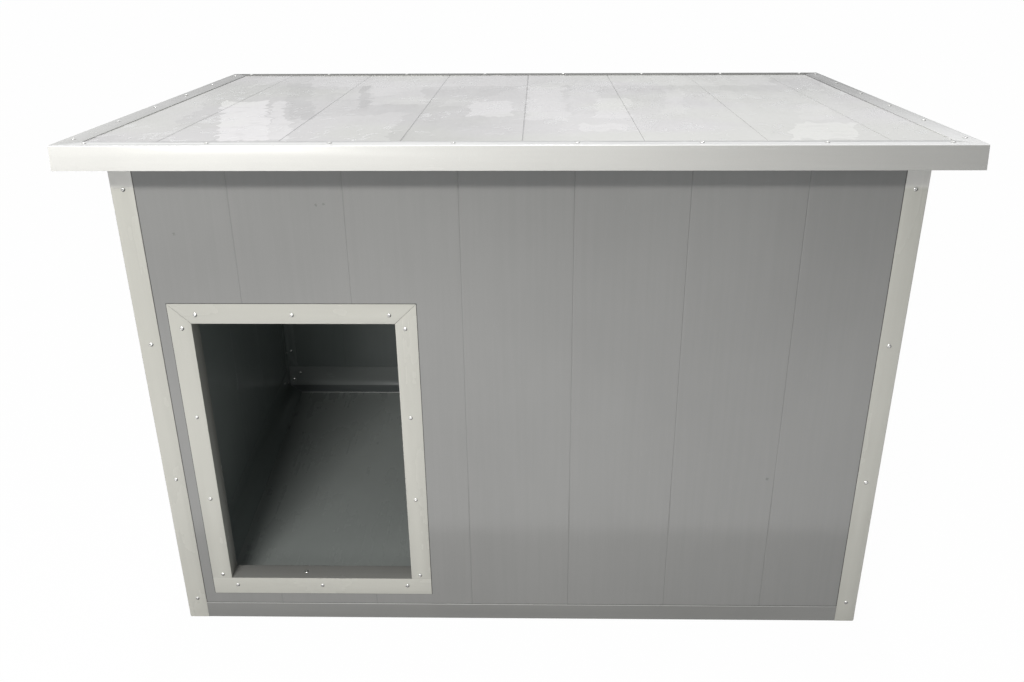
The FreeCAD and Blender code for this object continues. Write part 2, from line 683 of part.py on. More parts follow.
def make_rivets(name, places, frame):
    """The rivets of one group as a node, and the holes that they need, which are returned."""
    NODES[name] = set_group(name, rivet_solid(), places, frame)
    return set_group(f"{name}_holes", hole_solid(), places, frame)


def drill(names, holes):
    """Cut a group's holes through each named piece."""
    for name in names:
        blank = NODES[name]
        blank.Label = f"{name}_before_{holes.Label}"
        drilled = DOC.addObject("Part::Cut", name)
        drilled.Base = blank
        drilled.Tool = holes
        drilled.Label = name
        NODES[name] = drilled


def corner_rivet_places():
    places = []
    margin = value("Sizes.rivet_margin")
    for sign_x, sign_y in CORNERS.values():
        top = value("Sizes.front_height" if sign_y < 0 else "Sizes.back_height") - margin
        face_x = sign_x * value(f"{HALF_WIDTH} + {TRIM}")
        face_y = sign_y * value(f"{HALF_DEPTH} + {TRIM}")
        inset = value("Sizes.rivet_inset")
        on_end = (face_x - sign_x * inset, face_y, FreeCAD.Vector(0, sign_y, 0))
        on_side = (face_x, face_y - sign_y * inset, FreeCAD.Vector(sign_x, 0, 0))
        for x, y, outward in (on_end, on_side):
            low, high = FreeCAD.Vector(x, y, margin), FreeCAD.Vector(x, y, top)
            places += row(low, high, CORNER_RIVETS, outward)
    return places


def doorway_rivet_places():
    outward = FreeCAD.Vector(0, -1, 0)
    face = -value(f"{HALF_DEPTH} + {TRIM}")
    margin = value("Sizes.rivet_margin")
    inset = value("Sizes.rivet_inset")
    x0, x1, z0, z1 = (value(edge) for edge in (DOOR_X0, DOOR_X1, DOOR_Z0, DOOR_Z1))
    places = []
    for x in (x0 + inset, x1 - inset):
        low, high = FreeCAD.Vector(x, face, z0 + margin), FreeCAD.Vector(x, face, z1 - margin)
        places += row(low, high, DOOR_SIDE_RIVETS, outward)
    for z in (z0 + inset, z1 - inset):
        left, right = FreeCAD.Vector(x0 + margin, face, z), FreeCAD.Vector(x1 - margin, face, z)
        places += row(left, right, DOOR_END_RIVETS, outward)
    return places


def lining_rivet_places():
    """Rivets of the lining's flanges on the inner face, and the one in the sill."""
    outward = FreeCAD.Vector(0, 1, 0)
    face = value(f"{PANEL} + {LINING} - {HALF_DEPTH}")
    reach = value(f"{LINING} + Sizes.lining_flange / 2")
    margin = value("Sizes.rivet_margin")
    x0, x1, z0, z1 = (value(edge) for edge in (OPENING_X0, OPENING_X1, OPENING_Z0, OPENING_Z1))
    places = []
    for x in (x0 - reach, x1 + reach):
        low, high = FreeCAD.Vector(x, face, z0 + margin), FreeCAD.Vector(x, face, z1 - margin)
        places += row(low, high, LINING_RIVETS, outward)
    for z in (z0 - reach, z1 + reach):
        left, right = FreeCAD.Vector(x0 + margin, face, z), FreeCAD.Vector(x1 - margin, face, z)
        places += row(left, right, LINING_RIVETS, outward)
    sill = vector(f"{OPENING_X0} + Sizes.sill_rivet_place", f"{PANEL} / 2 - {HALF_DEPTH}", OPENING_Z0)
    places.append((sill, FreeCAD.Vector(0, 0, 1)))
    return places


def inside_rivet_places():
    """Rivets of the skirting and of the angles in the inside corners."""
    places = []
    floor = value("Sizes.floor_height")
    leg = value("Sizes.skirting_wall_leg")
    inset = value("Sizes.inner_corner_leg") / 2
    margin = value("Sizes.rivet_margin")
    heel_x = value(f"{HALF_WIDTH} - {PANEL}")
    heel_y = value(f"{HALF_DEPTH} - {PANEL}")
    trim = value(TRIM)
    low_z = floor + leg + margin
    for sign_x, sign_y in CORNERS.values():
        top = value("Sizes.front_height" if sign_y < 0 else "Sizes.back_height") - margin
        on_end = (heel_x - inset, heel_y - trim, FreeCAD.Vector(0, -sign_y, 0))
        on_side = (heel_x - trim, heel_y - inset, FreeCAD.Vector(-sign_x, 0, 0))
        for x, y, outward in (on_end, on_side):
            low = FreeCAD.Vector(sign_x * x, sign_y * y, low_z)
            high = FreeCAD.Vector(sign_x * x, sign_y * y, top)
            places += row(low, high, INNER_CORNER_RIVETS, outward)
        # a slanting pair holds each end of a skirting's leg
        for step in (1, 2):
            height = floor + leg * step / 3
            along = inset * (1.5 * step - 0.5)
            if sign_y > 0:
                point = FreeCAD.Vector(sign_x * (heel_x - along), sign_y * (heel_y - trim), height)
                places.append((point, FreeCAD.Vector(0, -sign_y, 0)))
            point = FreeCAD.Vector(sign_x * (heel_x - trim), sign_y * (heel_y - 2 * along), height)
            places.append((point, FreeCAD.Vector(-sign_x, 0, 0)))
    front_leg = value(FRONT_SKIRTING_LEG)
    left = FreeCAD.Vector(margin - heel_x, trim - heel_y, floor + front_leg / 2)
    right = FreeCAD.Vector(heel_x - margin, trim - heel_y, floor + front_leg / 2)
    return places + row(left, right, CORNER_RIVETS, FreeCAD.Vector(0, 1, 0))


def roof_rivet_places():
    outward = FreeCAD.Vector(0, 0, 1)
    face = value(ROOF_STACK)
    half_x = value(f"{ROOF_HALF_WIDTH} + {TRIM}")
    half_y = value(f"{ROOF_HALF_LENGTH} + {TRIM}")
    inset = value("Sizes.rivet_inset")
    margin = value("Sizes.rivet_margin")
    side_inset = value("Sizes.roof_side_inset")
    places = []
    for y in (inset - half_y, half_y - inset):
        left, right = FreeCAD.Vector(margin - half_x, y, face), FreeCAD.Vector(half_x - margin, y, face)
        places += row(left, right, ROOF_END_RIVETS, outward)
    near, far = value("Sizes.roof_side_first") - half_y, half_y - inset - margin / 2
    for x in (side_inset - half_x, half_x - side_inset):
        front, back = FreeCAD.Vector(x, near, face), FreeCAD.Vector(x, far, face)
        places += row(front, back, ROOF_SIDE_RIVETS, outward)
    return places


def hinge_rivet_places(on_roof):
    """Rivets of one kind of hinge leaf, in the house's frame."""
    pitch = value("Sizes.hinge_rivet_pitch")
    along = value(f"(Sizes.hinge_leaf_width + {LEAF_START}) / 2")
    face = value(f"{PIN_OFFSET} - Sizes.hinge_leaf_thickness")
    turn = slope_rotation() if on_roof else FreeCAD.Rotation()
    local = FreeCAD.Vector(0, along, face) if on_roof else FreeCAD.Vector(0, -face, -along)
    outward = FreeCAD.Vector(0, 0, -1) if on_roof else FreeCAD.Vector(0, 1, 0)
    places = []
    for place in HINGE_PLACES.values():
        for number in (-1, 0, 1):
            shift = FreeCAD.Vector(number * pitch, 0, 0)
            point = vector(place, PIN_Y, PIN_Z) + turn.multVec(local + shift)
            places.append((point, turn.multVec(outward)))
    return places


def rivet_together():
    walls, roof, house = walls_placement(), roof_placement(), FreeCAD.Placement()
    outer_sheets = [f"{side}_wall_outer_sheet" for side in SIDES]
    inner_sheets = [f"{side}_wall_inner_sheet" for side in SIDES]
    foams = [f"{side}_wall_foam" for side in SIDES]
    corner_trims = [f"corner_trim_{corner}" for corner in CORNERS]
    inner_corners = [f"inner_corner_{corner}" for corner in CORNERS]
    skirtings = [f"skirting_{side}" for side in SIDES]
    strips = [f"doorway_strip_{side}" for side in ("top", "bottom", "left", "right")]
    linings = ["doorway_lining_left", "doorway_lining_right", "doorway_lining_top", "doorway_sill"]
    roof_trims = [f"roof_trim_{side}" for side in SIDES]

    holes = make_rivets("corner_rivets", corner_rivet_places(), walls)
    drill(corner_trims + outer_sheets + foams, holes)
    places = doorway_rivet_places() + lining_rivet_places()
    holes = make_rivets("doorway_rivets", places, walls)
    drill(strips + linings + ["front_wall_outer_sheet", "front_wall_foam", "front_wall_inner_sheet"], holes)
    holes = make_rivets("inside_rivets", inside_rivet_places(), walls)
    drill(inner_corners + skirtings + inner_sheets + foams, holes)
    holes = make_rivets("roof_rivets", roof_rivet_places(), roof)
    drill(roof_trims + ["roof_top_sheet", "roof_foam"], holes)
    holes = make_rivets("hinge_wall_rivets", hinge_rivet_places(False), house)
    drill([f"hinge_{hinge}_wall_leaf" for hinge in HINGE_PLACES], holes)
    drill(["back_wall_outer_sheet", "back_wall_foam"], holes)
    holes = make_rivets("hinge_roof_rivets", hinge_rivet_places(True), house)
    drill([f"hinge_{hinge}_roof_leaf" for hinge in HINGE_PLACES], holes)
    drill(["roof_ceiling_sheet", "roof_foam"], holes)


# ---------------------------------------------------------------- the whole house


def check_and_write():
    DOC.recompute()
    failed = [item.Label for item in DOC.Objects if set(item.State) & {"Invalid", "Error"}]
    for name, node in NODES.items():
        if node.Shape.isNull() or not node.Shape.isValid() or not node.Shape.Solids:
            failed.append(name)
    if failed:
        raise RuntimeError("these did not come out: " + ", ".join(failed))
    os.makedirs("parts", exist_ok=True)
    for name, node in NODES.items():
        node.Shape.exportStep(f"parts/{name}.step")
    print(len(NODES), "nodes; hinge pin axis at", vector("0", PIN_Y, PIN_Z))


def main():
    fill_table()
    for side in SIDES:
        make_wall(side)
        make_base_rail(side)
        make_skirting(side)
        make_roof_trim(side)
    for corner in CORNERS:
        make_corner_trim(corner)
        make_inner_corner(corner)
    make_floor()
    make_doorway_strips()
    make_doorway_lining()
    make_roof_panel()
    make_roof_seal()
    for hinge in HINGE_PLACES:
        make_leaf(f"hinge_{hinge}_wall_leaf", hinge, False)
        make_leaf(f"hinge_{hinge}_roof_leaf", hinge, True)
    make_hinge_pins()
    DOC.recompute()
    rivet_together()
    check_and_write()


main()
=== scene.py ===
import math

import bmesh
import bpy
from mathutils import Matrix, Vector


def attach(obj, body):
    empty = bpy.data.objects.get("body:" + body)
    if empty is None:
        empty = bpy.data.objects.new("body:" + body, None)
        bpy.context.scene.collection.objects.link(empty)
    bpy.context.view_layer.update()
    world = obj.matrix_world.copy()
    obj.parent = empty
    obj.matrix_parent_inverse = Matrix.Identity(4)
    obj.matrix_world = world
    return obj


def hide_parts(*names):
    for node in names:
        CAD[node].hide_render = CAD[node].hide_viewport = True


# The looks of an insulated dog house of painted sandwich panels, in metres.
# +X is to the right along the front, +Y to the back, +Z up; the doorway is at the left of the front.

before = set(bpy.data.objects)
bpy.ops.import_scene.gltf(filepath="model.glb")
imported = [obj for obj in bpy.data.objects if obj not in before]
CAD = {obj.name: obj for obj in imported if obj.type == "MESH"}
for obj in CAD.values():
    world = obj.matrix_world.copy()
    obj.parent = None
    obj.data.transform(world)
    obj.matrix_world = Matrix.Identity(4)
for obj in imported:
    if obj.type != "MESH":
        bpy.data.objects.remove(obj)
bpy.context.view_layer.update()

SIDES = ("front", "back", "left", "right")
CORNERS = ("front_left", "front_right", "back_left", "back_right")
DOOR_EDGES = ("top", "bottom", "left", "right")
HINGES = ("left", "middle", "right")

# The roof falls to the back by this angle.
ROOF_FALL = math.atan2(130, 900)
ROOF_TURN = Matrix.Rotation(-ROOF_FALL, 3, "X")

# Sheet edges: how far a fold is rounded and a cut edge is eased, and which edges count.
FOLD_RADIUS = 0.0019
CUT_RADIUS = 0.00032
SHORTEST_EDGE = 0.006
NARROWEST_LEG = 0.006
MITRE_GAP = 0.0004
WELD = 2e-6


# ---------------------------------------------------------------- node helpers


def add(tree, kind, inputs=None, **settings):
    """A node with its settings, and its sockets linked or set."""
    node = tree.nodes.new(kind)
    for name, setting in settings.items():
        setattr(node, name, setting)
    for name, given in (inputs or {}).items():
        if isinstance(given, bpy.types.NodeSocket):
            tree.links.new(given, node.inputs[name])
        else:
            node.inputs[name].default_value = given
    return node


def math_node(tree, operation, a, b=None, clamp=False):
    inputs = {0: a} if b is None else {0: a, 1: b}
    return add(tree, "ShaderNodeMath", inputs, operation=operation, use_clamp=clamp).outputs[0]


def times(tree, a, b, clamp=False):
    return math_node(tree, "MULTIPLY", a, b, clamp)


def plus(tree, a, b, clamp=False):
    return math_node(tree, "ADD", a, b, clamp)


def vector_node(tree, operation, first, second=(0, 0, 0)):
    return add(tree, "ShaderNodeVectorMath", {0: first, 1: second}, operation=operation).outputs


def vector_scaled(tree, vector, scale):
    """A vector with each of its parts times the same part of the scale."""
    return vector_node(tree, "MULTIPLY", vector, scale)[0]


def vector_times(tree, vector, factor):
    return add(tree, "ShaderNodeVectorMath", {0: vector, "Scale": factor}, operation="SCALE").outputs[0]


def parts_of(tree, vector):
    return add(tree, "ShaderNodeSeparateXYZ", {0: vector}).outputs


def noise(tree, vector, scale, detail=3.0, roughness=0.5, distortion=0.0):
    inputs = {
        "Vector": vector, "Scale": scale, "Detail": detail,
        "Roughness": roughness, "Distortion": distortion,
    }
    return add(tree, "ShaderNodeTexNoise", inputs).outputs["Fac"]


def spread(tree, value, low, high, to_low=0.0, to_high=1.0):
    """A value from one range carried to another, smoothly and held inside it."""
    inputs = {"Value": value, "From Min": low, "From Max": high, "To Min": to_low, "To Max": to_high}
    return add(tree, "ShaderNodeMapRange", inputs, interpolation_type="SMOOTHSTEP").outputs["Result"]


def tinted(tree, share, first, second, mode="MIX"):
    """The first colour, with a share of the second mixed in."""
    node = add(tree, "ShaderNodeMix", data_type="RGBA", blend_type=mode)
    for socket, given in ((node.inputs[0], share), (node.inputs[6], first), (node.inputs[7], second)):
        if isinstance(given, bpy.types.NodeSocket):
            tree.links.new(given, socket)
        else:
            socket.default_value = given
    return node.outputs[2]


def new_group(name, inputs, outputs):
    """An empty shader group; a socket is (name, kind) or (name, kind, default)."""
    tree = bpy.data.node_groups.new(name, "ShaderNodeTree")
    for direction, sockets in (("INPUT", inputs), ("OUTPUT", outputs)):
        for title, kind, *default in sockets:
            socket = tree.interface.new_socket(title, in_out=direction, socket_type="NodeSocket" + kind)
            if default:
                socket.default_value = default[0]
    return tree, add(tree, "NodeGroupInput").outputs, add(tree, "NodeGroupOutput").inputs


def use_group(tree, group, inputs):
    return add(tree, "ShaderNodeGroup", inputs, node_tree=group).outputs


# ---------------------------------------------------------------- effects shared by the finishes


def make_coil_paint():
    """Coil-coated sheet: slow tone drift, streaks along the rolling direction, fine peel, slack."""
    tree, given, out = new_group(
        "Coil paint",
        (
            ("Position", "Vector"),
            ("Paint", "Color", (0.5, 0.5, 0.5, 1)),
            ("Rolling", "Vector", (1, 1, 0.04)),
            ("Drift", "Float", 0.06),
            ("Streaks", "Float", 0.04),
            ("Gloss roughness", "Float", 0.3),
            ("Slack", "Float", 1.0),
        ),
        (("Paint", "Color"), ("Roughness", "Float"), ("Height", "Float")),
    )
    place = given["Position"]
    drift = spread(tree, noise(tree, place, 2.6, 3.0), 0.3, 0.7, -1.0, 1.0)
    rolled = vector_scaled(tree, place, given["Rolling"])
    streaks = spread(tree, noise(tree, rolled, 95.0, 3.0, 0.6), 0.32, 0.68, -1.0, 1.0)
    tone = times(tree, drift, given["Drift"])
    tone = plus(tree, tone, times(tree, streaks, given["Streaks"]))
    speck = spread(tree, noise(tree, place, 700.0, 2.0), 0.35, 0.65, -0.012, 0.012)
    tone = plus(tree, plus(tree, tone, speck), 1.0)
    tree.links.new(vector_times(tree, given["Paint"], tone), out["Paint"])

    rub = spread(tree, noise(tree, rolled, 30.0, 4.0, 0.65), 0.3, 0.7, -0.02, 0.02)
    cloud = spread(tree, noise(tree, place, 6.0, 4.0, 0.6), 0.3, 0.7, -0.03, 0.03)
    rough = plus(tree, given["Gloss roughness"], plus(tree, rub, cloud), clamp=True)
    tree.links.new(rough, out["Roughness"])

    slack = times(tree, noise(tree, place, 5.0, 1.0, 0.3), 0.0012)
    slack = times(tree, slack, given["Slack"])
    peel = times(tree, noise(tree, place, 420.0, 2.0, 0.5), 0.000035)
    ribs = times(tree, noise(tree, rolled, 70.0, 2.0), 0.00006)
    tree.links.new(plus(tree, slack, plus(tree, peel, ribs)), out["Height"])
    return tree


def make_brushed_place():
    """Positions pulled about, mostly down the fall, so that a mark's edge looks wiped by a brush."""
    tree, given, out = new_group(
        "Brushed place", (("Position", "Vector"), ("Pull", "Float", 0.03)), (("Place", "Vector"),)
    )
    across = noise(tree, vector_scaled(tree, given["Position"], (6.0, 22.0, 9.0)), 1.0, 2.0, 0.55)
    along = noise(tree, vector_scaled(tree, given["Position"], (36.0, 6.0, 11.0)), 1.0, 2.0, 0.55)
    sideways = math_node(tree, "SUBTRACT", across, 0.5)
    down_fall = times(tree, math_node(tree, "SUBTRACT", along, 0.5), 2.2)
    pulls = add(tree, "ShaderNodeCombineXYZ", {"X": sideways, "Y": down_fall}).outputs[0]
    pulls = vector_times(tree, pulls, given["Pull"])
    tree.links.new(vector_node(tree, "ADD", given["Position"], pulls)[0], out["Place"])
    return tree


def make_patch_and_reflection():
    """One upright patch on the roof, partly a dried water mark and partly a painted reflection: its
    middle, half size, and lean along the fall.
    """
    tree, given, out = new_group(
        "Dried patch and painted reflection",
        (("Place", "Vector"), ("Middle X", "Float"), ("Middle Y", "Float"),
         ("Half width", "Float", 0.05), ("Half depth", "Float", 0.1), ("Lean", "Float", 0.0)),
        (("Mask", "Float"),),
    )
    split = parts_of(tree, given["Place"])
    along = math_node(tree, "SUBTRACT", split["Y"], given["Middle Y"])
    across = math_node(tree, "SUBTRACT", split["X"], given["Middle X"])
    across = math_node(tree, "SUBTRACT", across, times(tree, along, given["Lean"]))
    past_side = math_node(tree, "SUBTRACT", math_node(tree, "ABSOLUTE", across), given["Half width"])
    past_end = math_node(tree, "SUBTRACT", math_node(tree, "ABSOLUTE", along), given["Half depth"])
    past = math_node(tree, "MAXIMUM", past_side, times(tree, past_end, 0.2))
    tree.links.new(spread(tree, past, -0.0015, 0.0015, 1.0, 0.0), out["Mask"])
    return tree


def make_wisps():
    """Small pale strokes, drawn out down the sheet's fall and gathered in drifts."""
    tree, given, out = new_group(
        "Wisps", (("Position", "Vector"), ("Amount", "Float", 0.5)), (("Mask", "Float"),)
    )
    leaned = add(
        tree, "ShaderNodeVectorRotate", {"Vector": given["Position"], "Angle": 0.22},
        rotation_type="Z_AXIS",
    ).outputs[0]
    strokes = noise(tree, vector_scaled(tree, leaned, (34.0, 17.0, 9.0)), 1.0, 3.0, 0.6, 0.9)
    drifts = spread(tree, noise(tree, given["Position"], 5.0, 3.0, 0.6), 0.40, 0.58)
    mask = times(tree, spread(tree, strokes, 0.55, 0.64), drifts)
    tree.links.new(times(tree, mask, given["Amount"], clamp=True), out["Mask"])
    return tree


def make_pressed_grooves():
    """Fine grooves pressed down a sheet at an even pitch: the painted shade in them, and their depth."""
    tree, given, out = new_group(
        "Pressed grooves",
        (("Across", "Float"), ("First", "Float"), ("Half pitch", "Float", 0.1),
         ("Half width", "Float", 0.0015), ("Depth", "Float", 0.0003)),
        (("Grime", "Float"), ("Height", "Float")),
    )
    from_first = math_node(tree, "SUBTRACT", given["Across"], given["First"])
    off = math_node(tree, "PINGPONG", from_first, given["Half pitch"])
    share = math_node(tree, "DIVIDE", off, given["Half width"])
    tree.links.new(spread(tree, share, 0.25, 0.75, 1.0, 0.0), out["Grime"])
    tree.links.new(times(tree, spread(tree, share, 0.0, 1.0, -1.0, 0.0), given["Depth"]), out["Height"])
    return tree


def make_border_shade():
    """The thin painted shade line where flat trims lie on a sheet, all round a box that they border."""
    tree, given, out = new_group(
        "Border painted shade",
        (("Position", "Vector"), ("Middle", "Vector"),
         ("Half size", "Vector", (1, 1, 1)), ("Reach", "Float", 0.001)),
        (("Mask", "Float"),),
    )
    offset = vector_node(tree, "SUBTRACT", given["Position"], given["Middle"])[0]
    past = vector_node(tree, "SUBTRACT", vector_node(tree, "ABSOLUTE", offset)[0], given["Half size"])[0]
    outside = vector_node(tree, "LENGTH", vector_node(tree, "MAXIMUM", past)[0])["Value"]
    split = parts_of(tree, past)
    inside = math_node(tree, "MAXIMUM", math_node(tree, "MAXIMUM", split["X"], split["Y"]), split["Z"])
    inside = math_node(tree, "MINIMUM", inside, 0.0)
    off = math_node(tree, "ABSOLUTE", plus(tree, outside, inside))
    share = math_node(tree, "DIVIDE", off, given["Reach"])
    tree.links.new(spread(tree, share, 0.6, 1.0, 1.0, 0.0), out["Mask"])
    return tree


def make_scuffs():
    """Short fine scratches in two directions, in a few places only."""
    tree, given, out = new_group(
        "Scuffs", (("Position", "Vector"), ("Amount", "Float", 0.3)), (("Mask", "Float"),)
    )
    masks = []
    for turn, stretch in ((0.5, (1.0, 0.06, 0.06)), (-0.9, (0.07, 1.0, 0.07))):
        turned = add(
            tree, "ShaderNodeVectorRotate", {"Vector": given["Position"], "Angle": turn},
            rotation_type="AXIS_ANGLE",
        ).outputs[0]
        lines = noise(tree, vector_scaled(tree, turned, stretch), 900.0, 2.0, 0.4)
        masks.append(spread(tree, lines, 0.70, 0.76))
    patches = spread(tree, noise(tree, given["Position"], 9.0, 2.0), 0.54, 0.66)
    mask = times(tree, math_node(tree, "MAXIMUM", *masks), patches)
    tree.links.new(times(tree, mask, given["Amount"], clamp=True), out["Mask"])
    return tree


def make_ground_dirt():
    """Dust and splashes that thin out above the ground."""
    tree, given, out = new_group(
        "Ground dirt",
        (("Position", "Vector"), ("Reach", "Float", 0.12), ("Amount", "Float", 0.2)),
        (("Mask", "Float"),),
    )
    share = math_node(tree, "DIVIDE", parts_of(tree, given["Position"])["Z"], given["Reach"])
    fade = spread(tree, share, 0.0, 1.0, 1.0, 0.0)
    patch = spread(tree, noise(tree, given["Position"], 24.0, 5.0, 0.7), 0.35, 0.7)
    tree.links.new(times(tree, times(tree, fade, patch), given["Amount"], clamp=True), out["Mask"])
    return tree


COIL_PAINT = make_coil_paint()
BRUSHED_PLACE = make_brushed_place()
PATCH_AND_REFLECTION = make_patch_and_reflection()
WISPS = make_wisps()
PRESSED_GROOVES = make_pressed_grooves()
BORDER_SHADE = make_border_shade()
SCUFFS = make_scuffs()
GROUND_DIRT = make_ground_dirt()


# ---------------------------------------------------------------- finishes


def new_finish(name):
    material = bpy.data.materials.new(name)
    material.use_nodes = True
    tree = material.node_tree
    tree.nodes.clear()
    shader = add(tree, "ShaderNodeBsdfPrincipled")
    add(tree, "ShaderNodeOutputMaterial", {"Surface": shader.outputs[0]})
    place = add(tree, "ShaderNodeTexCoord").outputs["Object"]
    return material, tree, shader.inputs, place


def bump(tree, shader, height, strength=1.0, distance=1.0):
    inputs = {"Height": height, "Strength": strength, "Distance": distance}
    tree.links.new(add(tree, "ShaderNodeBump", inputs).outputs[0], shader["Normal"])


DUST_COLOUR = (0.42, 0.40, 0.36, 1)
# The colour of painted shade: in grooves, along borders, on rivet heads and along trims.
PAINTED_SHADE_COLOUR = (0.05, 0.05, 0.048, 1)
MARK_COLOUR = (0.06, 0.06, 0.06, 1)
GROOVE_PITCH = 0.2
WALL_GROOVE_DEPTH = 0.0002
ROOF_GROOVE_DEPTH = 0.0004
WALL_GROOVE_SHADE = 0.11
BORDER_SHADE_REACH = 0.0016
BORDER_SHADE_SHARE = 0.8
MARK_SHARE = 0.32


def panel_grooves(tree, place, axis, first, depth):
    """The pressed grooves of a panel, counted along one axis from the first."""
    return use_group(tree, PRESSED_GROOVES, {
        "Across": parts_of(tree, place)[axis], "First": first,
        "Half pitch": GROOVE_PITCH / 2, "Depth": depth,
    })


def painted_sheet(
    name, paint, rolling, roughness, drift=0.03, streaks=0.01, slack=0.3, scuffs=0.0, dirt=0.0,
    gloss=1.5, grooves=None, borders=(), marks=(), painted_light=None, shade_along=None,
):
    """Painted steel: coil paint, then scuffs, ground dirt, painted shade in its grooves and along its
    borders.

    grooves is (axis, first); borders are boxes (middle, half size); marks are (middle, radius);
    painted_light is a band of painted light: (height where it starts, height where it is whole,
    share, colour);
    shade_along is painted shade along an axis: (axis, unshaded end, shaded end, share of the
    paint that it takes away).
    """
    material, tree, shader, place = new_finish(name)
    coil = use_group(tree, COIL_PAINT, {
        "Position": place, "Paint": (*paint, 1), "Rolling": rolling, "Drift": drift,
        "Streaks": streaks, "Gloss roughness": roughness, "Slack": slack,
    })
    scratched = (*(min(1.0, channel * 1.5 + 0.04) for channel in paint), 1)
    worn = use_group(tree, SCUFFS, {"Position": place, "Amount": scuffs})["Mask"]
    dusty = use_group(tree, GROUND_DIRT, {"Position": place, "Amount": dirt})["Mask"]
    colour = tinted(tree, worn, coil["Paint"], scratched)
    colour = tinted(tree, dusty, colour, DUST_COLOUR)
    # Painted shade that grows along one axis.
    if shade_along is not None:
        axis, unshaded_end, shaded_end, share = shade_along
        along = parts_of(tree, place)[axis]
        colour = tinted(tree, spread(tree, along, unshaded_end, shaded_end, 0.0, share), colour, PAINTED_SHADE_COLOUR)
    height = coil["Height"]
    # A band of painted light, lighter from one height up.
    if painted_light is not None:
        start, whole, share, pale = painted_light
        level = parts_of(tree, place)["Z"]
        colour = tinted(tree, spread(tree, level, start, whole, 0.0, share), colour, (*pale, 1))
    # Painted shade in the pressed grooves.
    if grooves is not None:
        pressed = panel_grooves(tree, place, *grooves, WALL_GROOVE_DEPTH)
        groove_shade = times(tree, pressed["Grime"], WALL_GROOVE_SHADE)
        colour = tinted(tree, groove_shade, colour, PAINTED_SHADE_COLOUR)
        height = plus(tree, height, pressed["Height"])
    # A thin painted shade line along each border box.
    for middle, half_size in borders:
        border_shade = use_group(tree, BORDER_SHADE, {
            "Position": place, "Middle": middle, "Half size": half_size, "Reach": BORDER_SHADE_REACH,
        })["Mask"]
        colour = tinted(tree, times(tree, border_shade, BORDER_SHADE_SHARE), colour, PAINTED_SHADE_COLOUR)
    for middle, radius in marks:
        offset = vector_node(tree, "DISTANCE", place, middle)["Value"]
        rough_edge = spread(tree, noise(tree, place, 300.0), 0.3, 0.7, -0.0012, 0.0012)
        mark = spread(tree, plus(tree, offset, rough_edge), radius * 0.5, radius, MARK_SHARE, 0.0)
        colour = tinted(tree, mark, colour, MARK_COLOUR)
    tree.links.new(colour, shader["Base Color"])
    rough = plus(tree, coil["Roughness"], times(tree, dusty, 0.3), clamp=True)
    tree.links.new(rough, shader["Roughness"])
    shader["IOR"].default_value = gloss
    bump(tree, shader, height)
    return material


# Patches on the roof, partly water marks and partly painted reflections: middle X, Y, half width, half
# depth, lean, shade, strength.
ROOF_PATCHES = (
    (0.033, 0.390, 0.560, 0.110, 0.00, 0.80, 0.55),
    (-0.515, -0.240, 0.046, 0.250, -0.26, 0.95, 0.85),
    (-0.447, -0.240, 0.018, 0.245, -0.23, 0.92, 0.60),
    (-0.472, 0.046, 0.030, 0.300, -0.21, 0.36, 0.58),
    (-0.340, 0.095, 0.010, 0.180, -0.16, 0.30, 0.62),
    (-0.270, 0.117, 0.056, 0.160, -0.15, 0.82, 0.50),
    (-0.057, -0.107, 0.042, 0.110, -0.03, 0.90, 0.65),
    (0.054, 0.003, 0.039, 0.270, 0.00, 0.88, 0.60),
    (0.137, 0.062, 0.031, 0.213, 0.03, 0.80, 0.50),
    (0.186, -0.093, 0.034, 0.140, 0.07, 0.95, 0.60),
    (0.154, -0.356, 0.044, 0.040, 0.06, 0.97, 0.60),
    (0.320, 0.005, 0.020, 0.200, 0.12, 0.90, 0.40),
    (0.522, -0.400, 0.053, 0.088, 0.25, 0.97, 0.75),
    (0.568, -0.165, 0.030, 0.110, 0.20, 0.88, 0.50),
)
ROOF_FIRST_GROOVE = -0.5888


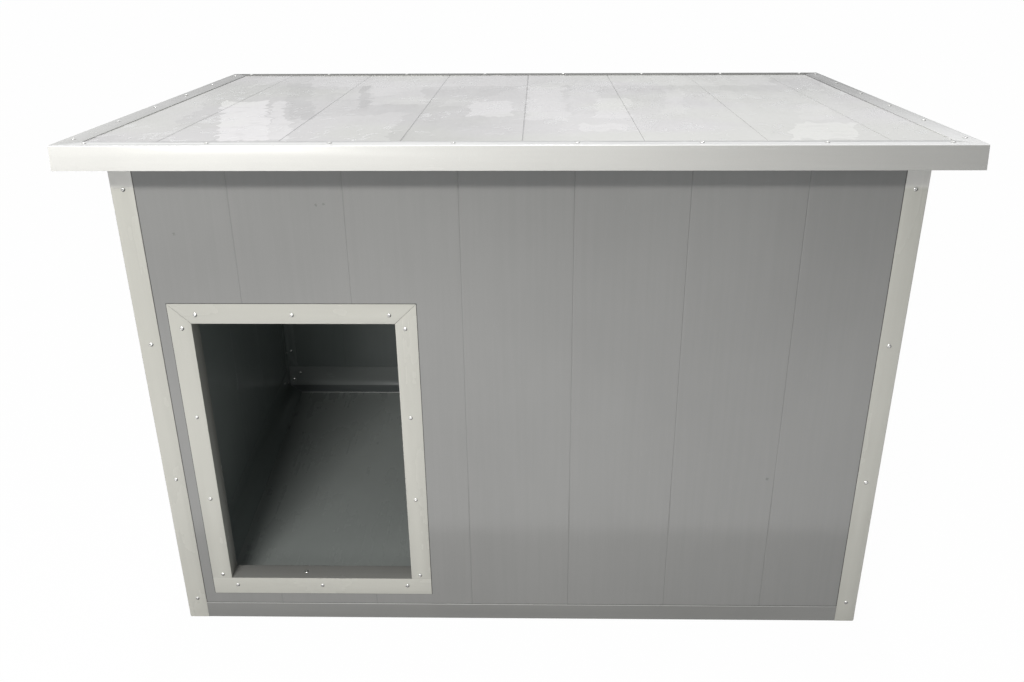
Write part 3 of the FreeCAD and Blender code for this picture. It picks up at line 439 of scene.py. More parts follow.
def roof_paint():
    """The gloss roof sheet: lighter to the front right, with dried patches, painted reflections, wisps
    and painted shade in its grooves.
    """
    material, tree, shader, place = new_finish("Gloss roof paint")
    coil = use_group(tree, COIL_PAINT, {
        "Position": place, "Paint": (0.53, 0.53, 0.525, 1), "Rolling": (1, 0.03, 1), "Drift": 0.05,
        "Streaks": 0.02, "Gloss roughness": 0.16, "Slack": 1.0,
    })
    wiped = use_group(tree, BRUSHED_PLACE, {"Position": place, "Pull": 0.05})["Place"]
    # Pale blocks, partly painted reflections.
    blocks = vector_scaled(tree, wiped, (7.0, 3.0, 0.0))
    cells = add(tree, "ShaderNodeTexVoronoi", {"Vector": blocks, "Scale": 1.0}, distance="CHEBYCHEV")
    cell_share = add(tree, "ShaderNodeSeparateColor", {0: cells.outputs["Color"]}).outputs[0]
    strokes = noise(tree, vector_scaled(tree, place, (16.0, 30.0, 1.0)), 1.0, 3.0, 0.65)
    thin_film = spread(tree, strokes, 0.38, 0.46, 0.7, 1.0)
    blotches_and_reflections = spread(tree, cell_share, 0.15, 0.95, 0.0, 0.36)
    colour = tinted(tree, blotches_and_reflections, coil["Paint"], (0.82, 0.82, 0.815, 1))
    split = parts_of(tree, wiped)
    to_right = spread(tree, split["X"], -0.14, 0.14, 0.0, 0.72)
    to_front = spread(tree, split["Y"], -0.25, 0.3, 1.0, 0.0)
    colour = tinted(tree, times(tree, to_right, to_front), colour, (0.85, 0.85, 0.845, 1))
    for x, y, half_width, half_depth, lean, shade, strength in ROOF_PATCHES:
        mask = use_group(tree, PATCH_AND_REFLECTION, {
            "Place": wiped, "Middle X": x, "Middle Y": y,
            "Half width": half_width, "Half depth": half_depth, "Lean": lean,
        })["Mask"]
        film = times(tree, mask, times(tree, thin_film, strength))
        colour = tinted(tree, film, colour, (shade, shade, shade * 0.995, 1))
    warmth = spread(tree, noise(tree, place, 3.5, 1.0), 0.4, 0.6)
    hue = tinted(tree, warmth, (1.0, 1.0, 0.955, 1), (1.0, 0.975, 0.99, 1))
    colour = tinted(tree, 1.0, colour, hue, "MULTIPLY")
    wisps = use_group(tree, WISPS, {"Position": place, "Amount": 0.6})["Mask"]
    colour = tinted(tree, wisps, colour, (0.95, 0.95, 0.95, 1))
    # Painted shade in the roof's grooves, stronger to the left.
    pressed = panel_grooves(tree, place, "X", ROOF_FIRST_GROOVE, ROOF_GROOVE_DEPTH)
    groove_shade = spread(tree, parts_of(tree, place)["X"], -0.2, 0.2, 0.38, 0.16)
    colour = tinted(tree, times(tree, pressed["Grime"], groove_shade), colour, PAINTED_SHADE_COLOUR)
    tree.links.new(colour, shader["Base Color"])
    rough = plus(tree, coil["Roughness"], times(tree, wisps, 0.25), clamp=True)
    tree.links.new(rough, shader["Roughness"])
    bump(tree, shader, plus(tree, coil["Height"], pressed["Height"]))
    return material


def foam_core():
    """Cut polyurethane foam: pale yellow with fine open cells."""
    material, tree, shader, place = new_finish("Foam core")
    cells = add(tree, "ShaderNodeTexVoronoi", {"Vector": place, "Scale": 900.0}).outputs["Distance"]
    blotch = noise(tree, place, 40.0, 4.0, 0.6)
    colour = tinted(tree, spread(tree, blotch, 0.3, 0.7), (0.74, 0.58, 0.30, 1), (0.86, 0.72, 0.44, 1))
    colour = tinted(tree, spread(tree, cells, 0.1, 0.6, 0.35, 0.0), colour, (0.5, 0.36, 0.16, 1))
    tree.links.new(colour, shader["Base Color"])
    shader["Roughness"].default_value = 0.95
    bump(tree, shader, cells, 0.6, 0.0004)
    return material


def seal_rubber():
    material, tree, shader, place = new_finish("Seal rubber")
    pores = noise(tree, place, 1200.0, 3.0, 0.6)
    dusty = spread(tree, noise(tree, place, 30.0), 0.3, 0.7)
    colour = tinted(tree, dusty, (0.022, 0.022, 0.023, 1), (0.05, 0.05, 0.05, 1))
    tree.links.new(colour, shader["Base Color"])
    tree.links.new(spread(tree, pores, 0.3, 0.7, 0.6, 0.85), shader["Roughness"])
    bump(tree, shader, pores, 0.8, 0.0002)
    return material


def plated_steel():
    """Zinc-plated hinge steel, brushed along the pin."""
    material, tree, shader, place = new_finish("Plated hinge steel")
    brushed = noise(tree, vector_scaled(tree, place, (0.02, 1.0, 1.0)), 1500.0, 3.0, 0.6)
    spangle = add(tree, "ShaderNodeTexVoronoi", {"Vector": place, "Scale": 260.0}).outputs["Color"]
    colour = tinted(tree, 0.18, (0.56, 0.56, 0.55, 1), spangle, "SOFT_LIGHT")
    dulled = spread(tree, noise(tree, place, 60.0, 4.0), 0.45, 0.75, 0.0, 0.4)
    colour = tinted(tree, dulled, colour, (0.30, 0.29, 0.27, 1))
    tree.links.new(colour, shader["Base Color"])
    shader["Metallic"].default_value = 1.0
    tree.links.new(spread(tree, brushed, 0.3, 0.7, 0.26, 0.44), shader["Roughness"])
    bump(tree, shader, brushed, 0.5, 0.00008)
    return material


# The way that the painted shade on a rivet head faces: down and to the right.
SHADED_SIDE = (0.55, 0.0, -0.83)


def rivet_metal():
    """Bare aluminium of the blind rivets, with painted shade on the lower right of each head."""
    material, tree, shader, place = new_finish("Rivet aluminium")
    grain = noise(tree, place, 1800.0, 3.0, 0.6)
    bright = spread(tree, noise(tree, place, 130.0, 3.0), 0.3, 0.7)
    colour = tinted(tree, bright, (0.78, 0.78, 0.76, 1), (0.92, 0.92, 0.90, 1))
    # Painted shade on the side of each head that faces down and to the right.
    facing = add(tree, "ShaderNodeTexCoord").outputs["Normal"]
    toward_shade = vector_node(tree, "DOT_PRODUCT", facing, SHADED_SIDE)["Value"]
    colour = tinted(tree, spread(tree, toward_shade, 0.04, 0.34, 0.0, 0.85), colour, PAINTED_SHADE_COLOUR)
    tree.links.new(colour, shader["Base Color"])
    shader["Metallic"].default_value = 1.0
    tree.links.new(spread(tree, grain, 0.3, 0.7, 0.18, 0.30), shader["Roughness"])
    bump(tree, shader, grain, 0.4, 0.00006)
    return material


ALONG_X = (0.03, 1.0, 1.0)
ALONG_Y = (1.0, 0.03, 1.0)
UPRIGHT = (1.0, 1.0, 0.03)
GREY = (0.272, 0.272, 0.266)
TRIM_GREY = (0.53, 0.525, 0.48)
FRONT_FACE = -0.4529

# Boxes, as middle and half size, with a thin painted shade line round their borders: what the trims
# leave bare of a long wall and of an end wall, between the corner trims and above the rail; and the
# doorway's strips.
RAIL_TOP = 0.038
BARE_HALF_WIDTH = 0.6612
BARE_HALF_DEPTH = 0.4141
BEYOND = 9.0
ABOVE_RAIL = (0.0, 0.0, RAIL_TOP + BEYOND)
LONG_WALL_BARE = (ABOVE_RAIL, (BARE_HALF_WIDTH, BEYOND, BEYOND))
END_WALL_BARE = (ABOVE_RAIL, (BEYOND, BARE_HALF_DEPTH, BEYOND))
DOOR_STRIPS = ((-0.4115, FRONT_FACE, 0.4025), (0.2275, BEYOND, 0.3375))
WALL_MARKS = (
    ((0.486, FRONT_FACE, 0.360), 0.0035), ((-0.348, FRONT_FACE, 0.931), 0.0028),
    ((-0.335, FRONT_FACE, 0.933), 0.0028), ((-0.604, FRONT_FACE, 0.877), 0.0028),
)

LONG_WALL_GROOVES = ("X", -0.5)
END_WALL_GROOVES = ("Y", -0.2529)
WALL_FINISH = {
    "paint": GREY, "rolling": UPRIGHT, "roughness": 0.12, "drift": 0.03, "streaks": 0.012,
    "slack": 0.5, "scuffs": 0.15, "dirt": 0.03, "gloss": 1.62,
}
FRONT_PAINT = painted_sheet(
    "Grey front wall paint", grooves=LONG_WALL_GROOVES,
    borders=(LONG_WALL_BARE, DOOR_STRIPS), marks=WALL_MARKS, **WALL_FINISH,
)
BACK_PAINT = painted_sheet(
    "Grey back wall paint", grooves=LONG_WALL_GROOVES, borders=(LONG_WALL_BARE,), **WALL_FINISH,
)
END_PAINT = painted_sheet(
    "Grey end wall paint", grooves=END_WALL_GROOVES, borders=(END_WALL_BARE,), **WALL_FINISH,
)
INNER_PAINT = painted_sheet("Grey inner paint", (0.232, 0.262, 0.252), UPRIGHT, 0.22, 0.04, 0.01, 0.5)
# Back skirting only: lighter paint as painted light, a dark foot as painted shade, a bright cut edge as a
# painted highlight.
LIT_SKIRTING_PAINT = painted_sheet("Skirting paint with painted light", (0.335, 0.36, 0.35), ALONG_X, 0.25)
SKIRTING_FOOT_SHADE = painted_sheet("Skirting foot with painted shade", (0.15, 0.165, 0.165), ALONG_X, 0.35)
CUT_EDGE_HIGHLIGHT = painted_sheet("Cut edge with painted highlight", (0.88, 0.89, 0.88), ALONG_X, 0.3)
FLOOR_PAINT = painted_sheet("Dark floor paint", (0.295, 0.318, 0.308), ALONG_Y, 0.28, 0.05, 0.006, 0.5)
# A painted highlight: a thin pale line along the rail's top edge.
RAIL_TOP_HIGHLIGHT = (RAIL_TOP - 0.0008, RAIL_TOP - 0.0002, 1.0, (0.62, 0.62, 0.60))
RAIL_PAINT = painted_sheet(
    "Grey rail paint with painted highlight", (0.265, 0.265, 0.257), ALONG_X, 0.2, dirt=0.02, painted_light=RAIL_TOP_HIGHLIGHT,
)
LINING_PAINT = painted_sheet(
    "Dark lining paint", (0.28, 0.28, 0.255), UPRIGHT, 0.25, 0.04, 0.02, scuffs=0.1,
)
SILL_PAINT = painted_sheet("Dark sill paint", (0.23, 0.23, 0.217), ALONG_X, 0.25, 0.04, 0.02, scuffs=0.2)
# The tops of the front corner trims, just under the eave, get painted light that makes them lighter than
# the rest.
PAINTED_LIGHT_UNDER_EAVES = (0.958, 0.969, 0.65, (0.92, 0.90, 0.87))
UPRIGHT_TRIM_PAINT = painted_sheet("Light upright trim paint", TRIM_GREY, UPRIGHT, 0.26)
FRONT_CORNER_PAINT = painted_sheet(
    "Light front corner paint with painted light", TRIM_GREY, UPRIGHT, 0.26, painted_light=PAINTED_LIGHT_UNDER_EAVES,
)
LEVEL_TRIM_PAINT = painted_sheet("Light level trim paint", TRIM_GREY, ALONG_X, 0.26)
# The front flange's top: the roof trim's paint made near white as a painted highlight.
ROOF_FLANGE_HIGHLIGHT_PAINT = painted_sheet(
    "Roof flange paint with painted highlight", (0.95, 0.95, 0.94), ALONG_X, 0.22, gloss=1.9,
)
# The back flange's top: the roof trim's paint made dark as painted shade.
BACK_FLANGE_SHADE_PAINT = painted_sheet(
    "Back flange paint with painted shade", (0.30, 0.30, 0.29), ALONG_X, 0.55, 0.1, gloss=1.15,
)
# The front and back roof trims get painted shade that grows to the right.
ROOF_EDGE_PAINT = painted_sheet(
    "Light roof edge paint", (0.735, 0.73, 0.70), ALONG_X, 0.24, scuffs=0.1,
    shade_along=("X", -0.4, 0.9, 0.4),
)
# The two roof end trims are one paint: the left copy is darker, painted shade, and the right copy
# lighter, painted light; both get painted shade growing to the back.
LEFT_END_PAINT = painted_sheet(
    "Light left roof end paint", (0.59, 0.59, 0.575), ALONG_Y, 0.24, 0.06,
    shade_along=("Y", -0.6, 0.5, 0.4),
)
RIGHT_END_PAINT = painted_sheet(
    "Light right roof end paint", (0.93, 0.93, 0.92), ALONG_Y, 0.24, 0.06,
    shade_along=("Y", -0.55, 0.35, 0.76),
)
ROOF_PAINT = roof_paint()
FOAM = foam_core()
SEAL = seal_rubber()
HINGE_STEEL = plated_steel()
RIVET_METAL = rivet_metal()


def finish_node(name, material):
    slots = CAD[name].data.materials
    slots.clear()
    slots.append(material)


# ---------------------------------------------------------------- folded and cut sheet edges


def merged_copy(name):
    """A CAD node's mesh as one welded shell with its flat faces joined."""
    shell = bmesh.new()
    shell.from_mesh(CAD[name].data)
    bmesh.ops.remove_doubles(shell, verts=shell.verts, dist=WELD)
    bmesh.ops.dissolve_limit(shell, angle_limit=math.radians(0.6), verts=shell.verts, edges=shell.edges)
    return shell


def face_width(face, edge):
    return face.calc_area() / edge.calc_length()


def reach_of(points):
    """The low and high corner of the box round some points, and the axis that it is longest on."""
    low = Vector(min(point[axis] for point in points) for axis in range(3))
    high = Vector(max(point[axis] for point in points) for axis in range(3))
    return low, high, max(range(3), key=lambda axis: high[axis] - low[axis])


def open_mitres(shell, gap):
    """Draws a flat strip's slanting ends back along it, so that its mitres show as a thin line."""
    low, high, along = reach_of([vert.co for vert in shell.verts])
    middle = (low[along] + high[along]) / 2
    slanting = [
        face for face in shell.faces
        if 0.3 < abs(face.normal[along]) < 0.95 and abs(face.normal.y) < 0.1
    ]
    for vert in {vert for face in slanting for vert in face.verts}:
        vert.co[along] -= math.copysign(gap, vert.co[along] - middle)


def soften(name, piece_name, body, material, fold=FOLD_RADIUS, cut=CUT_RADIUS, mitre=0.0):
    """Stands for a sheet node: its outer folds are rounded and its cut edges lose their burr."""
    shell = merged_copy(name)
    if mitre:
        open_mitres(shell, mitre)
    for radius, on_fold, segments in ((fold, True, 4), (cut, False, 2)):
        edges = []
        for edge in shell.edges:
            if len(edge.link_faces) != 2 or not edge.is_convex:
                continue
            if edge.calc_length() < SHORTEST_EDGE:
                continue
            if edge.calc_face_angle(0) < math.radians(40):
                continue
            widths = [face_width(face, edge) for face in edge.link_faces]
            if (min(widths) > NARROWEST_LEG) == on_fold:
                edges.append(edge)
        if edges:
            bmesh.ops.bevel(
                shell, geom=edges, offset=radius, offset_type="OFFSET", segments=segments,
                profile=0.5, affect="EDGES", clamp_overlap=True,
            )
    bmesh.ops.triangulate(shell, faces=[face for face in shell.faces if len(face.verts) > 4])
    for face in shell.faces:
        face.smooth = True
    return stand_in(shell, name, piece_name, body, material)


def stand_in(shell, name, piece_name, body, material):
    """The piece that shows in a CAD node's place."""
    mesh = bpy.data.meshes.new(piece_name)
    shell.to_mesh(mesh)
    shell.free()
    mesh.set_sharp_from_angle(angle=math.radians(32))
    mesh.materials.append(material)
    piece = bpy.data.objects.new(piece_name, mesh)
    bpy.context.scene.collection.objects.link(piece)
    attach(piece, body)
    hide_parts(name)
    return piece


# ---------------------------------------------------------------- blind rivets


RIVET_LENGTH = 0.007


def widest_at(points, axis, end):
    """How far the points at one end of an upright rivet lie from its own axis."""
    low, high, _ = reach_of(points)
    middle = (low + high) / 2
    widest = 0.0
    for point in points:
        if abs(point[axis] - end) < 2e-5:
            off = point - middle
            off[axis] = 0.0
            widest = max(widest, off.length)
    return widest


def rivet_seats(name, turn):
    """For each rivet of a CAD group: the middle of its head's underside, and the way it faces."""
    solids = bmesh.new()
    solids.from_mesh(CAD[name].data)
    bmesh.ops.remove_doubles(solids, verts=solids.verts, dist=WELD)
    upright = turn.transposed()
    waiting, seats = set(solids.verts), []
    while waiting:
        island, to_visit = [], [waiting.pop()]
        while to_visit:
            vert = to_visit.pop()
            island.append(upright @ vert.co)
            for edge in vert.link_edges:
                other = edge.other_vert(vert)
                if other in waiting:
                    waiting.remove(other)
                    to_visit.append(other)
        low, high, axis = reach_of(island)
        tail_is_low = widest_at(island, axis, low[axis]) > widest_at(island, axis, high[axis])
        facing = Vector((0, 0, 0))
        facing[axis] = 1 if tail_is_low else -1
        seat = (low + high) / 2
        seat[axis] = (low[axis] if tail_is_low else high[axis]) + facing[axis] * RIVET_LENGTH
        seats.append((turn @ seat, turn @ facing))
    solids.free()
    return seats


# A rivet's head from its rim to its pit: share of the head's radius, share of its height.
HEAD_PROFILE = (
    (0.88, 0.0), (1.0, 0.16), (0.97, 0.36), (0.84, 0.64), (0.62, 0.86), (0.36, 0.985), (0.28, 0.96),
)
PIT_PROFILE = ((0.28, 0.96), (0.25, 0.62))


def make_rivet_tree():
    """Geometry nodes: a domed blind rivet with its mandrel's pit, set on every point."""
    tree = bpy.data.node_groups.new("Blind rivets", "GeometryNodeTree")
    new = tree.interface.new_socket
    new("Seats", in_out="INPUT", socket_type="NodeSocketGeometry")
    sizes = (
        ("Head radius", 0.004), ("Head height", 0.0018),
        ("Shank radius", 0.002), ("Shank length", RIVET_LENGTH),
    )
    for title, default in sizes:
        new(title, in_out="INPUT", socket_type="NodeSocketFloat").default_value = default
    new("Sides", in_out="INPUT", socket_type="NodeSocketInt").default_value = 20
    new("Metal", in_out="INPUT", socket_type="NodeSocketMaterial")
    new("Rivets", in_out="OUTPUT", socket_type="NodeSocketGeometry")
    given, out = add(tree, "NodeGroupInput").outputs, add(tree, "NodeGroupOutput").inputs
    radius, height = given["Head radius"], given["Head height"]
    parts = []

    def at_height(geometry, lift):
        shift = add(tree, "ShaderNodeCombineXYZ", {"Z": lift}).outputs[0]
        moved = add(tree, "GeometryNodeTransform", {"Geometry": geometry, "Translation": shift})
        return moved.outputs[0]

    def ring(low, high):
        """A band of the head between two points of its profile."""
        cone = add(tree, "GeometryNodeMeshCone", {
            "Vertices": given["Sides"], "Side Segments": 1,
            "Radius Bottom": times(tree, radius, low[0]), "Radius Top": times(tree, radius, high[0]),
            "Depth": times(tree, height, high[1] - low[1]),
        }, fill_type="NONE")
        return at_height(cone.outputs["Mesh"], times(tree, height, low[1]))

    def disc(disc_radius):
        return add(tree, "GeometryNodeMeshCircle", {
            "Vertices": given["Sides"], "Radius": disc_radius,
        }, fill_type="NGON").outputs[0]

    def flipped(geometry):
        return add(tree, "GeometryNodeFlipFaces", {"Mesh": geometry}).outputs[0]

    for low, high in zip(HEAD_PROFILE, HEAD_PROFILE[1:]):
        if high[1] > low[1]:
            parts.append(ring(low, high))
        else:
            parts.append(flipped(ring(high, low)))
    pit_rim, pit_floor = PIT_PROFILE
    parts.append(flipped(ring(pit_floor, pit_rim)))
    parts.append(at_height(disc(times(tree, radius, pit_floor[0])), times(tree, height, pit_floor[1])))
    shank = add(tree, "GeometryNodeMeshCone", {
        "Vertices": given["Sides"], "Side Segments": 1,
        "Radius Bottom": given["Shank radius"], "Radius Top": given["Shank radius"],
        "Depth": given["Shank length"],
    }, fill_type="NONE")
    tail_height = times(tree, given["Shank length"], -1.0)
    parts.append(at_height(shank.outputs["Mesh"], tail_height))
    parts.append(at_height(flipped(disc(given["Shank radius"])), tail_height))
    underside = add(tree, "GeometryNodeMeshCone", {
        "Vertices": given["Sides"], "Side Segments": 1, "Depth": 0.0,
        "Radius Bottom": times(tree, radius, HEAD_PROFILE[0][0]), "Radius Top": given["Shank radius"],
    }, fill_type="NONE")
    parts.append(flipped(underside.outputs["Mesh"]))

    joined = add(tree, "GeometryNodeJoinGeometry")
    for part in parts:
        tree.links.new(part, joined.inputs[0])
    welded = add(tree, "GeometryNodeMergeByDistance", {"Geometry": joined.outputs[0], "Distance": 5e-6})
    facing = add(tree, "GeometryNodeInputNamedAttribute", {"Name": "facing"}, data_type="FLOAT_VECTOR")
    aligned = add(tree, "FunctionNodeAlignRotationToVector", {"Vector": facing.outputs[0]}, axis="Z")
    spin = add(tree, "FunctionNodeRandomValue", {"Max": 6.283, "Seed": 5}, data_type="FLOAT")
    spin_turn = add(tree, "ShaderNodeCombineXYZ", {"Z": spin.outputs["Value"]})
    turned = add(tree, "FunctionNodeRotateRotation", {
        "Rotation": aligned.outputs[0], "Rotate By": spin_turn.outputs[0],
    }, rotation_space="LOCAL")
    placed = add(tree, "GeometryNodeInstanceOnPoints", {
        "Points": given["Seats"], "Instance": welded.outputs[0], "Rotation": turned.outputs[0],
    })
    real = add(tree, "GeometryNodeRealizeInstances", {"Geometry": placed.outputs[0]})
    smooth = add(tree, "GeometryNodeSetShadeSmooth", {"Geometry": real.outputs[0]})
    coated = add(tree, "GeometryNodeSetMaterial", {
        "Geometry": smooth.outputs[0], "Material": given["Metal"],
    })
    tree.links.new(coated.outputs[0], out["Rivets"])
    return tree


RIVET_TREE = make_rivet_tree()


def set_rivets(name, body, turn):
    """Rivets with pits in place of a CAD group of plain ones."""
    seats = rivet_seats(name, turn)
    points = bpy.data.meshes.new(name + "_seats")
    points.from_pydata([seat for seat, _ in seats], [], [])
    facing = points.attributes.new("facing", "FLOAT_VECTOR", "POINT")
    facing.data.foreach_set("vector", [number for _, way in seats for number in way])
    holder = bpy.data.objects.new(name + "_seats", points)
    bpy.context.scene.collection.objects.link(holder)
    modifier = holder.modifiers.new("Blind rivets", "NODES")
    modifier.node_group = RIVET_TREE
    for socket in RIVET_TREE.interface.items_tree:
        if socket.in_out == "INPUT" and socket.name == "Metal":
            modifier[socket.identifier] = RIVET_METAL
    bpy.context.view_layer.update()
    graph = bpy.context.evaluated_depsgraph_get()
    mesh = bpy.data.meshes.new_from_object(holder.evaluated_get(graph))
    bpy.data.objects.remove(holder)
    mesh.name = "blind_" + name
    mesh.set_sharp_from_angle(angle=math.radians(50))
    piece = bpy.data.objects.new("blind_" + name, mesh)
    bpy.context.scene.collection.objects.link(piece)
    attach(piece, body)
    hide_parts(name)
    return piece


# ---------------------------------------------------------------- the house's own pieces


def dress_panels():
    outer_paint = {"front": FRONT_PAINT, "back": BACK_PAINT, "left": END_PAINT, "right": END_PAINT}
    for side in SIDES:
        finish_node(f"{side}_wall_outer_sheet", outer_paint[side])
        finish_node(f"{side}_wall_foam", FOAM)
        finish_node(f"{side}_wall_inner_sheet", INNER_PAINT)
    finish_node("roof_top_sheet", ROOF_PAINT)
    finish_node("roof_foam", FOAM)
    finish_node("roof_ceiling_sheet", INNER_PAINT)
    finish_node("floor_top_sheet", FLOOR_PAINT)
    finish_node("floor_foam", FOAM)
    finish_node("floor_bottom_sheet", FLOOR_PAINT)
    finish_node("roof_seal", SEAL)
    finish_node("hinge_pins", HINGE_STEEL)


ROOF_TRIM_PAINT = {
    "front": ROOF_EDGE_PAINT, "back": ROOF_EDGE_PAINT, "left": LEFT_END_PAINT, "right": RIGHT_END_PAINT,
}


def faces_up(face):
    return face.normal.z > 0.5


def on_skirting_foot(face):
    """The top of the skirting's leg on the floor."""
    return face.normal.z > 0.9 and face.center.z < 0.08


def on_skirting_edge(face):
    """The cut edge of the skirting's leg on the floor."""
    return face.normal.y < -0.3 and face.center.z < 0.067


def paint_faces(piece, paint, chosen):
    """A second paint for the faces of a piece that pass a test."""
    piece.data.materials.append(paint)
    index = len(piece.data.materials) - 1
    for face in piece.data.polygons:
        if chosen(face):
            face.material_index = index


def dress_folded_sheets():
    for side in SIDES:
        soften(f"base_rail_{side}", f"folded_base_rail_{side}", "house", RAIL_PAINT)
        # Only the back skirting gets painted light, with painted shade on its foot and a painted
        # highlight on its cut edge.
        paint = LIT_SKIRTING_PAINT if side == "back" else INNER_PAINT
        skirting = soften(f"skirting_{side}", f"folded_skirting_{side}", "house", paint)
        if side == "back":
            paint_faces(skirting, SKIRTING_FOOT_SHADE, on_skirting_foot)
            paint_faces(skirting, CUT_EDGE_HIGHLIGHT, on_skirting_edge)
        paint = ROOF_TRIM_PAINT[side]
        roof_trim = soften(f"roof_trim_{side}", f"folded_roof_trim_{side}", "roof", paint)
        # The front flange's top gets a painted highlight.
        if side == "front":
            paint_faces(roof_trim, ROOF_FLANGE_HIGHLIGHT_PAINT, faces_up)
        # The back flange's top gets painted shade.
        if side == "back":
            paint_faces(roof_trim, BACK_FLANGE_SHADE_PAINT, faces_up)
    for corner in CORNERS:
        paint = FRONT_CORNER_PAINT if corner.startswith("front") else UPRIGHT_TRIM_PAINT
        soften(f"corner_trim_{corner}", f"folded_corner_trim_{corner}", "house", paint)
        angle = f"inner_corner_{corner}"
        soften(angle, f"folded_{angle}", "house", INNER_PAINT)
    for edge in DOOR_EDGES:
        paint = LEVEL_TRIM_PAINT if edge in ("top", "bottom") else UPRIGHT_TRIM_PAINT
        strip = f"doorway_strip_{edge}"
        soften(strip, f"cut_{strip}", "house", paint, mitre=MITRE_GAP)
    for name in ("doorway_lining_left", "doorway_lining_right", "doorway_lining_top"):
        soften(name, f"folded_{name}", "house", LINING_PAINT)
    soften("doorway_sill", "folded_doorway_sill", "house", SILL_PAINT)
    for hinge in HINGES:
        for body, leaf in (("house", "wall_leaf"), ("roof", "roof_leaf")):
            name = f"hinge_{hinge}_{leaf}"
            soften(name, f"pressed_{name}", body, HINGE_STEEL, 0.0006, 0.0003)


def dress_rivets():
    flat = Matrix.Identity(3)
    for name in ("corner_rivets", "doorway_rivets", "inside_rivets", "hinge_wall_rivets"):
        set_rivets(name, "house", flat)
    for name in ("roof_rivets", "hinge_roof_rivets"):
        set_rivets(name, "roof", ROOF_TURN)


# ---------------------------------------------------------------- studio


# The floor lies a hair under the house, so that the two never share a face.
FLOOR_HEIGHT = -0.0004
BODY_HALF_SIZE = (0.7, 0.453, 0.0)
WHITE = (1, 1, 1, 1)


def make_floor():
    """A wide pale floor: white to the camera, shaded to soft light and dimmer in places to gloss."""
    mesh = bpy.data.meshes.new("studio_floor")
    reach = 14.0
    corners = [(-reach, -reach, 0), (reach, -reach, 0), (reach, reach, 0), (-reach, reach, 0)]
    mesh.from_pydata(corners, [], [(0, 1, 2, 3)])
    floor = bpy.data.objects.new("studio_floor", mesh)
    floor.location.z = FLOOR_HEIGHT
    bpy.context.scene.collection.objects.link(floor)
    material = bpy.data.materials.new("Pale studio floor")
    material.use_nodes = True
    tree = material.node_tree
    tree.nodes.clear()
    path = add(tree, "ShaderNodeLightPath").outputs
    shade = add(tree, "ShaderNodeBsdfDiffuse", {"Color": (0.70, 0.70, 0.70, 1)})
    bright_shade = add(tree, "ShaderNodeBsdfDiffuse", {"Color": (0.9, 0.9, 0.9, 1)})
    white = add(tree, "ShaderNodeEmission", {"Color": WHITE, "Strength": 1.0})
    seen = add(tree, "ShaderNodeMixShader", {0: 0.98, 1: bright_shade.outputs[0], 2: white.outputs[0]})

    # Gloss shows the floor shaded close round the house and dimmer far from it and to the right.
    place = add(tree, "ShaderNodeTexCoord").outputs["Object"]
    past = vector_node(tree, "SUBTRACT", vector_node(tree, "ABSOLUTE", place)[0], BODY_HALF_SIZE)[0]
    away = vector_node(tree, "LENGTH", vector_node(tree, "MAXIMUM", past)[0])["Value"]
    near = spread(tree, away, 0.26, 0.34, 0.3, 1.0)
    far = spread(tree, away, 0.8, 2.2, 1.0, 0.35)
    aside = spread(tree, parts_of(tree, place)["X"], 0.5, 2.0, 1.0, 0.5)
    strength = times(tree, times(tree, near, far), aside)
    mirrored = add(tree, "ShaderNodeEmission", {"Color": WHITE, "Strength": strength})
    unseen = add(tree, "ShaderNodeMixShader", {
        0: path["Is Glossy Ray"], 1: shade.outputs[0], 2: mirrored.outputs[0],
    })
    both = add(tree, "ShaderNodeMixShader", {
        0: path["Is Camera Ray"], 1: unseen.outputs[0], 2: seen.outputs[0],
    })
    add(tree, "ShaderNodeOutputMaterial", {"Surface": both.outputs[0]})
    mesh.materials.append(material)


def make_world():
    """Soft light all round: white to the camera, and dimmer on the right to gloss."""
    world = bpy.data.worlds.new("Studio")
    bpy.context.scene.world = world
    world.use_nodes = True
    tree = world.node_tree
    tree.nodes.clear()
    path = add(tree, "ShaderNodeLightPath").outputs
    soft = add(tree, "ShaderNodeBackground", {"Color": (0.97, 0.985, 1.0, 1), "Strength": 0.41})
    white = add(tree, "ShaderNodeBackground", {"Color": WHITE, "Strength": 1.0})
    to_right = parts_of(tree, add(tree, "ShaderNodeTexCoord").outputs["Generated"])["X"]
    strength = spread(tree, to_right, 0.35, 0.85, 0.95, 0.15)
    mirrored = add(tree, "ShaderNodeBackground", {"Color": WHITE, "Strength": strength})
    unseen = add(tree, "ShaderNodeMixShader", {
        0: path["Is Glossy Ray"], 1: soft.outputs[0], 2: mirrored.outputs[0],
    })
    both = add(tree, "ShaderNodeMixShader", {
        0: path["Is Camera Ray"], 1: unseen.outputs[0], 2: white.outputs[0],
    })
    add(tree, "ShaderNodeOutputWorld", {"Surface": both.outputs[0]})


def aim(thing, place, target):
    thing.location = place
    thing.rotation_euler = (Vector(target) - Vector(place)).to_track_quat("-Z", "Y").to_euler()
    bpy.context.scene.collection.objects.link(thing)


def area_lamp(name, size, energy, colour, place, target, spread_angle=180.0):
    lamp = bpy.data.lights.new(name, "AREA")
    lamp.spread = math.radians(spread_angle)
    lamp.shape = "RECTANGLE"
    lamp.size, lamp.size_y = size
    lamp.energy = energy
    lamp.color = colour
    aim(bpy.data.objects.new(name, lamp), place, target)


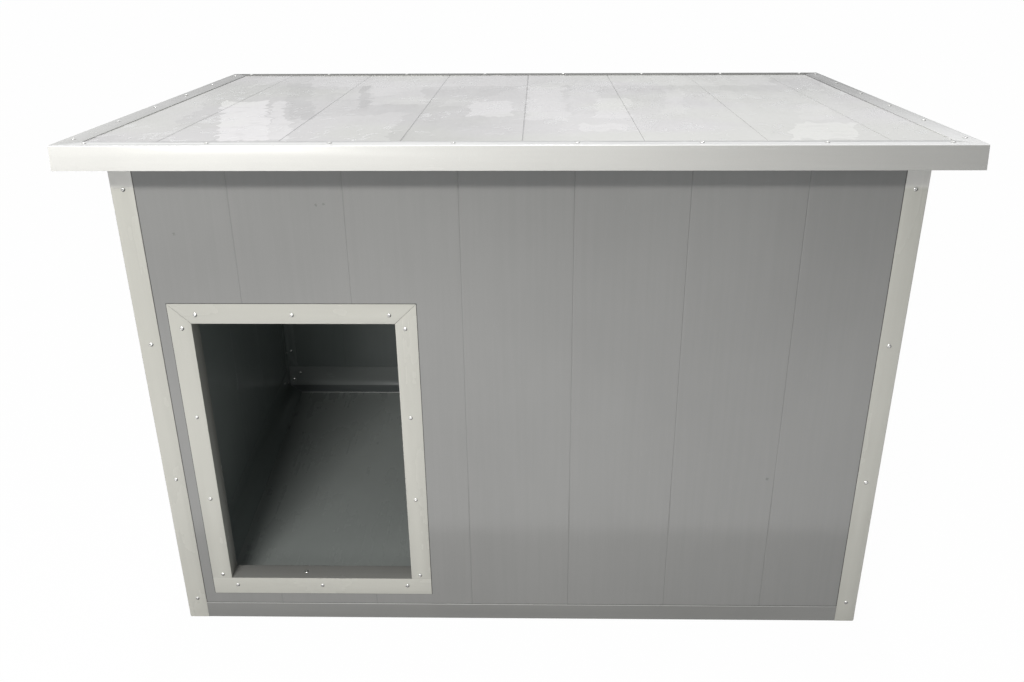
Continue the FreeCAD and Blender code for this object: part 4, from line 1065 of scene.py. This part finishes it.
def make_lamps():
    """A long flat key, a small lamp near the roof's left end, a front softbox and a ceiling lamp."""
    warm = (1.0, 0.985, 0.955)
    plain = (1, 1, 1)
    area_lamp("Key strip", (0.95, 0.09), 9.6, warm, (-0.98, -2.85, 2.5), (-0.1, -0.45, 0.15), 75.0)
    area_lamp("Near left lamp", (0.16, 0.16), 3.0, plain, (-1.10, -1.55, 1.67), (-0.2, -0.45, 0.9))
    area_lamp("Front softbox", (0.9, 0.5), 9.5, plain, (-0.95, -3.0, 1.35), (0.0, -0.45, 0.4))

    top = bpy.data.lights.new("Ceiling lamp", "SUN")
    top.energy = 0.75
    top.angle = math.radians(2.0)
    aim(bpy.data.objects.new("Ceiling lamp", top), (0.0, 0.9, 5.0), (0.0, 0.0, 0.0))


def make_camera():
    """The photograph's view: fitted to its edges, with the small shift that its framing needs."""
    photo_width, photo_height, sensor_width = 1024, 682, 36.0
    focal_px, centre_x, centre_y = 1069.87, 518.12, 314.32
    place = (0.03756, -2.18776, 1.59133)
    yaw, pitch, roll = math.radians(-1.21), math.radians(26.67), math.radians(-0.45)
    forward = Vector((math.sin(yaw) * math.cos(pitch), math.cos(yaw) * math.cos(pitch), -math.sin(pitch)))
    level = Vector((math.cos(yaw), -math.sin(yaw), 0))
    rise = level.cross(forward)
    right = math.cos(roll) * level + math.sin(roll) * rise
    upward = math.cos(roll) * rise - math.sin(roll) * level
    camera = bpy.data.cameras.new("Camera")
    camera.sensor_width = sensor_width
    camera.lens = focal_px * sensor_width / photo_width
    camera.shift_x = (photo_width / 2 - centre_x) / photo_width
    camera.shift_y = (centre_y - photo_height / 2) / photo_width
    stand = bpy.data.objects.new("Camera", camera)
    turn = Matrix((right, upward, -forward)).transposed().to_4x4()
    stand.matrix_world = Matrix.Translation(place) @ turn
    bpy.context.scene.collection.objects.link(stand)
    bpy.context.scene.camera = stand


dress_panels()
dress_folded_sheets()
dress_rivets()
make_floor()
make_world()
make_lamps()
make_camera()
bpy.context.scene.view_settings.view_transform = "Standard"
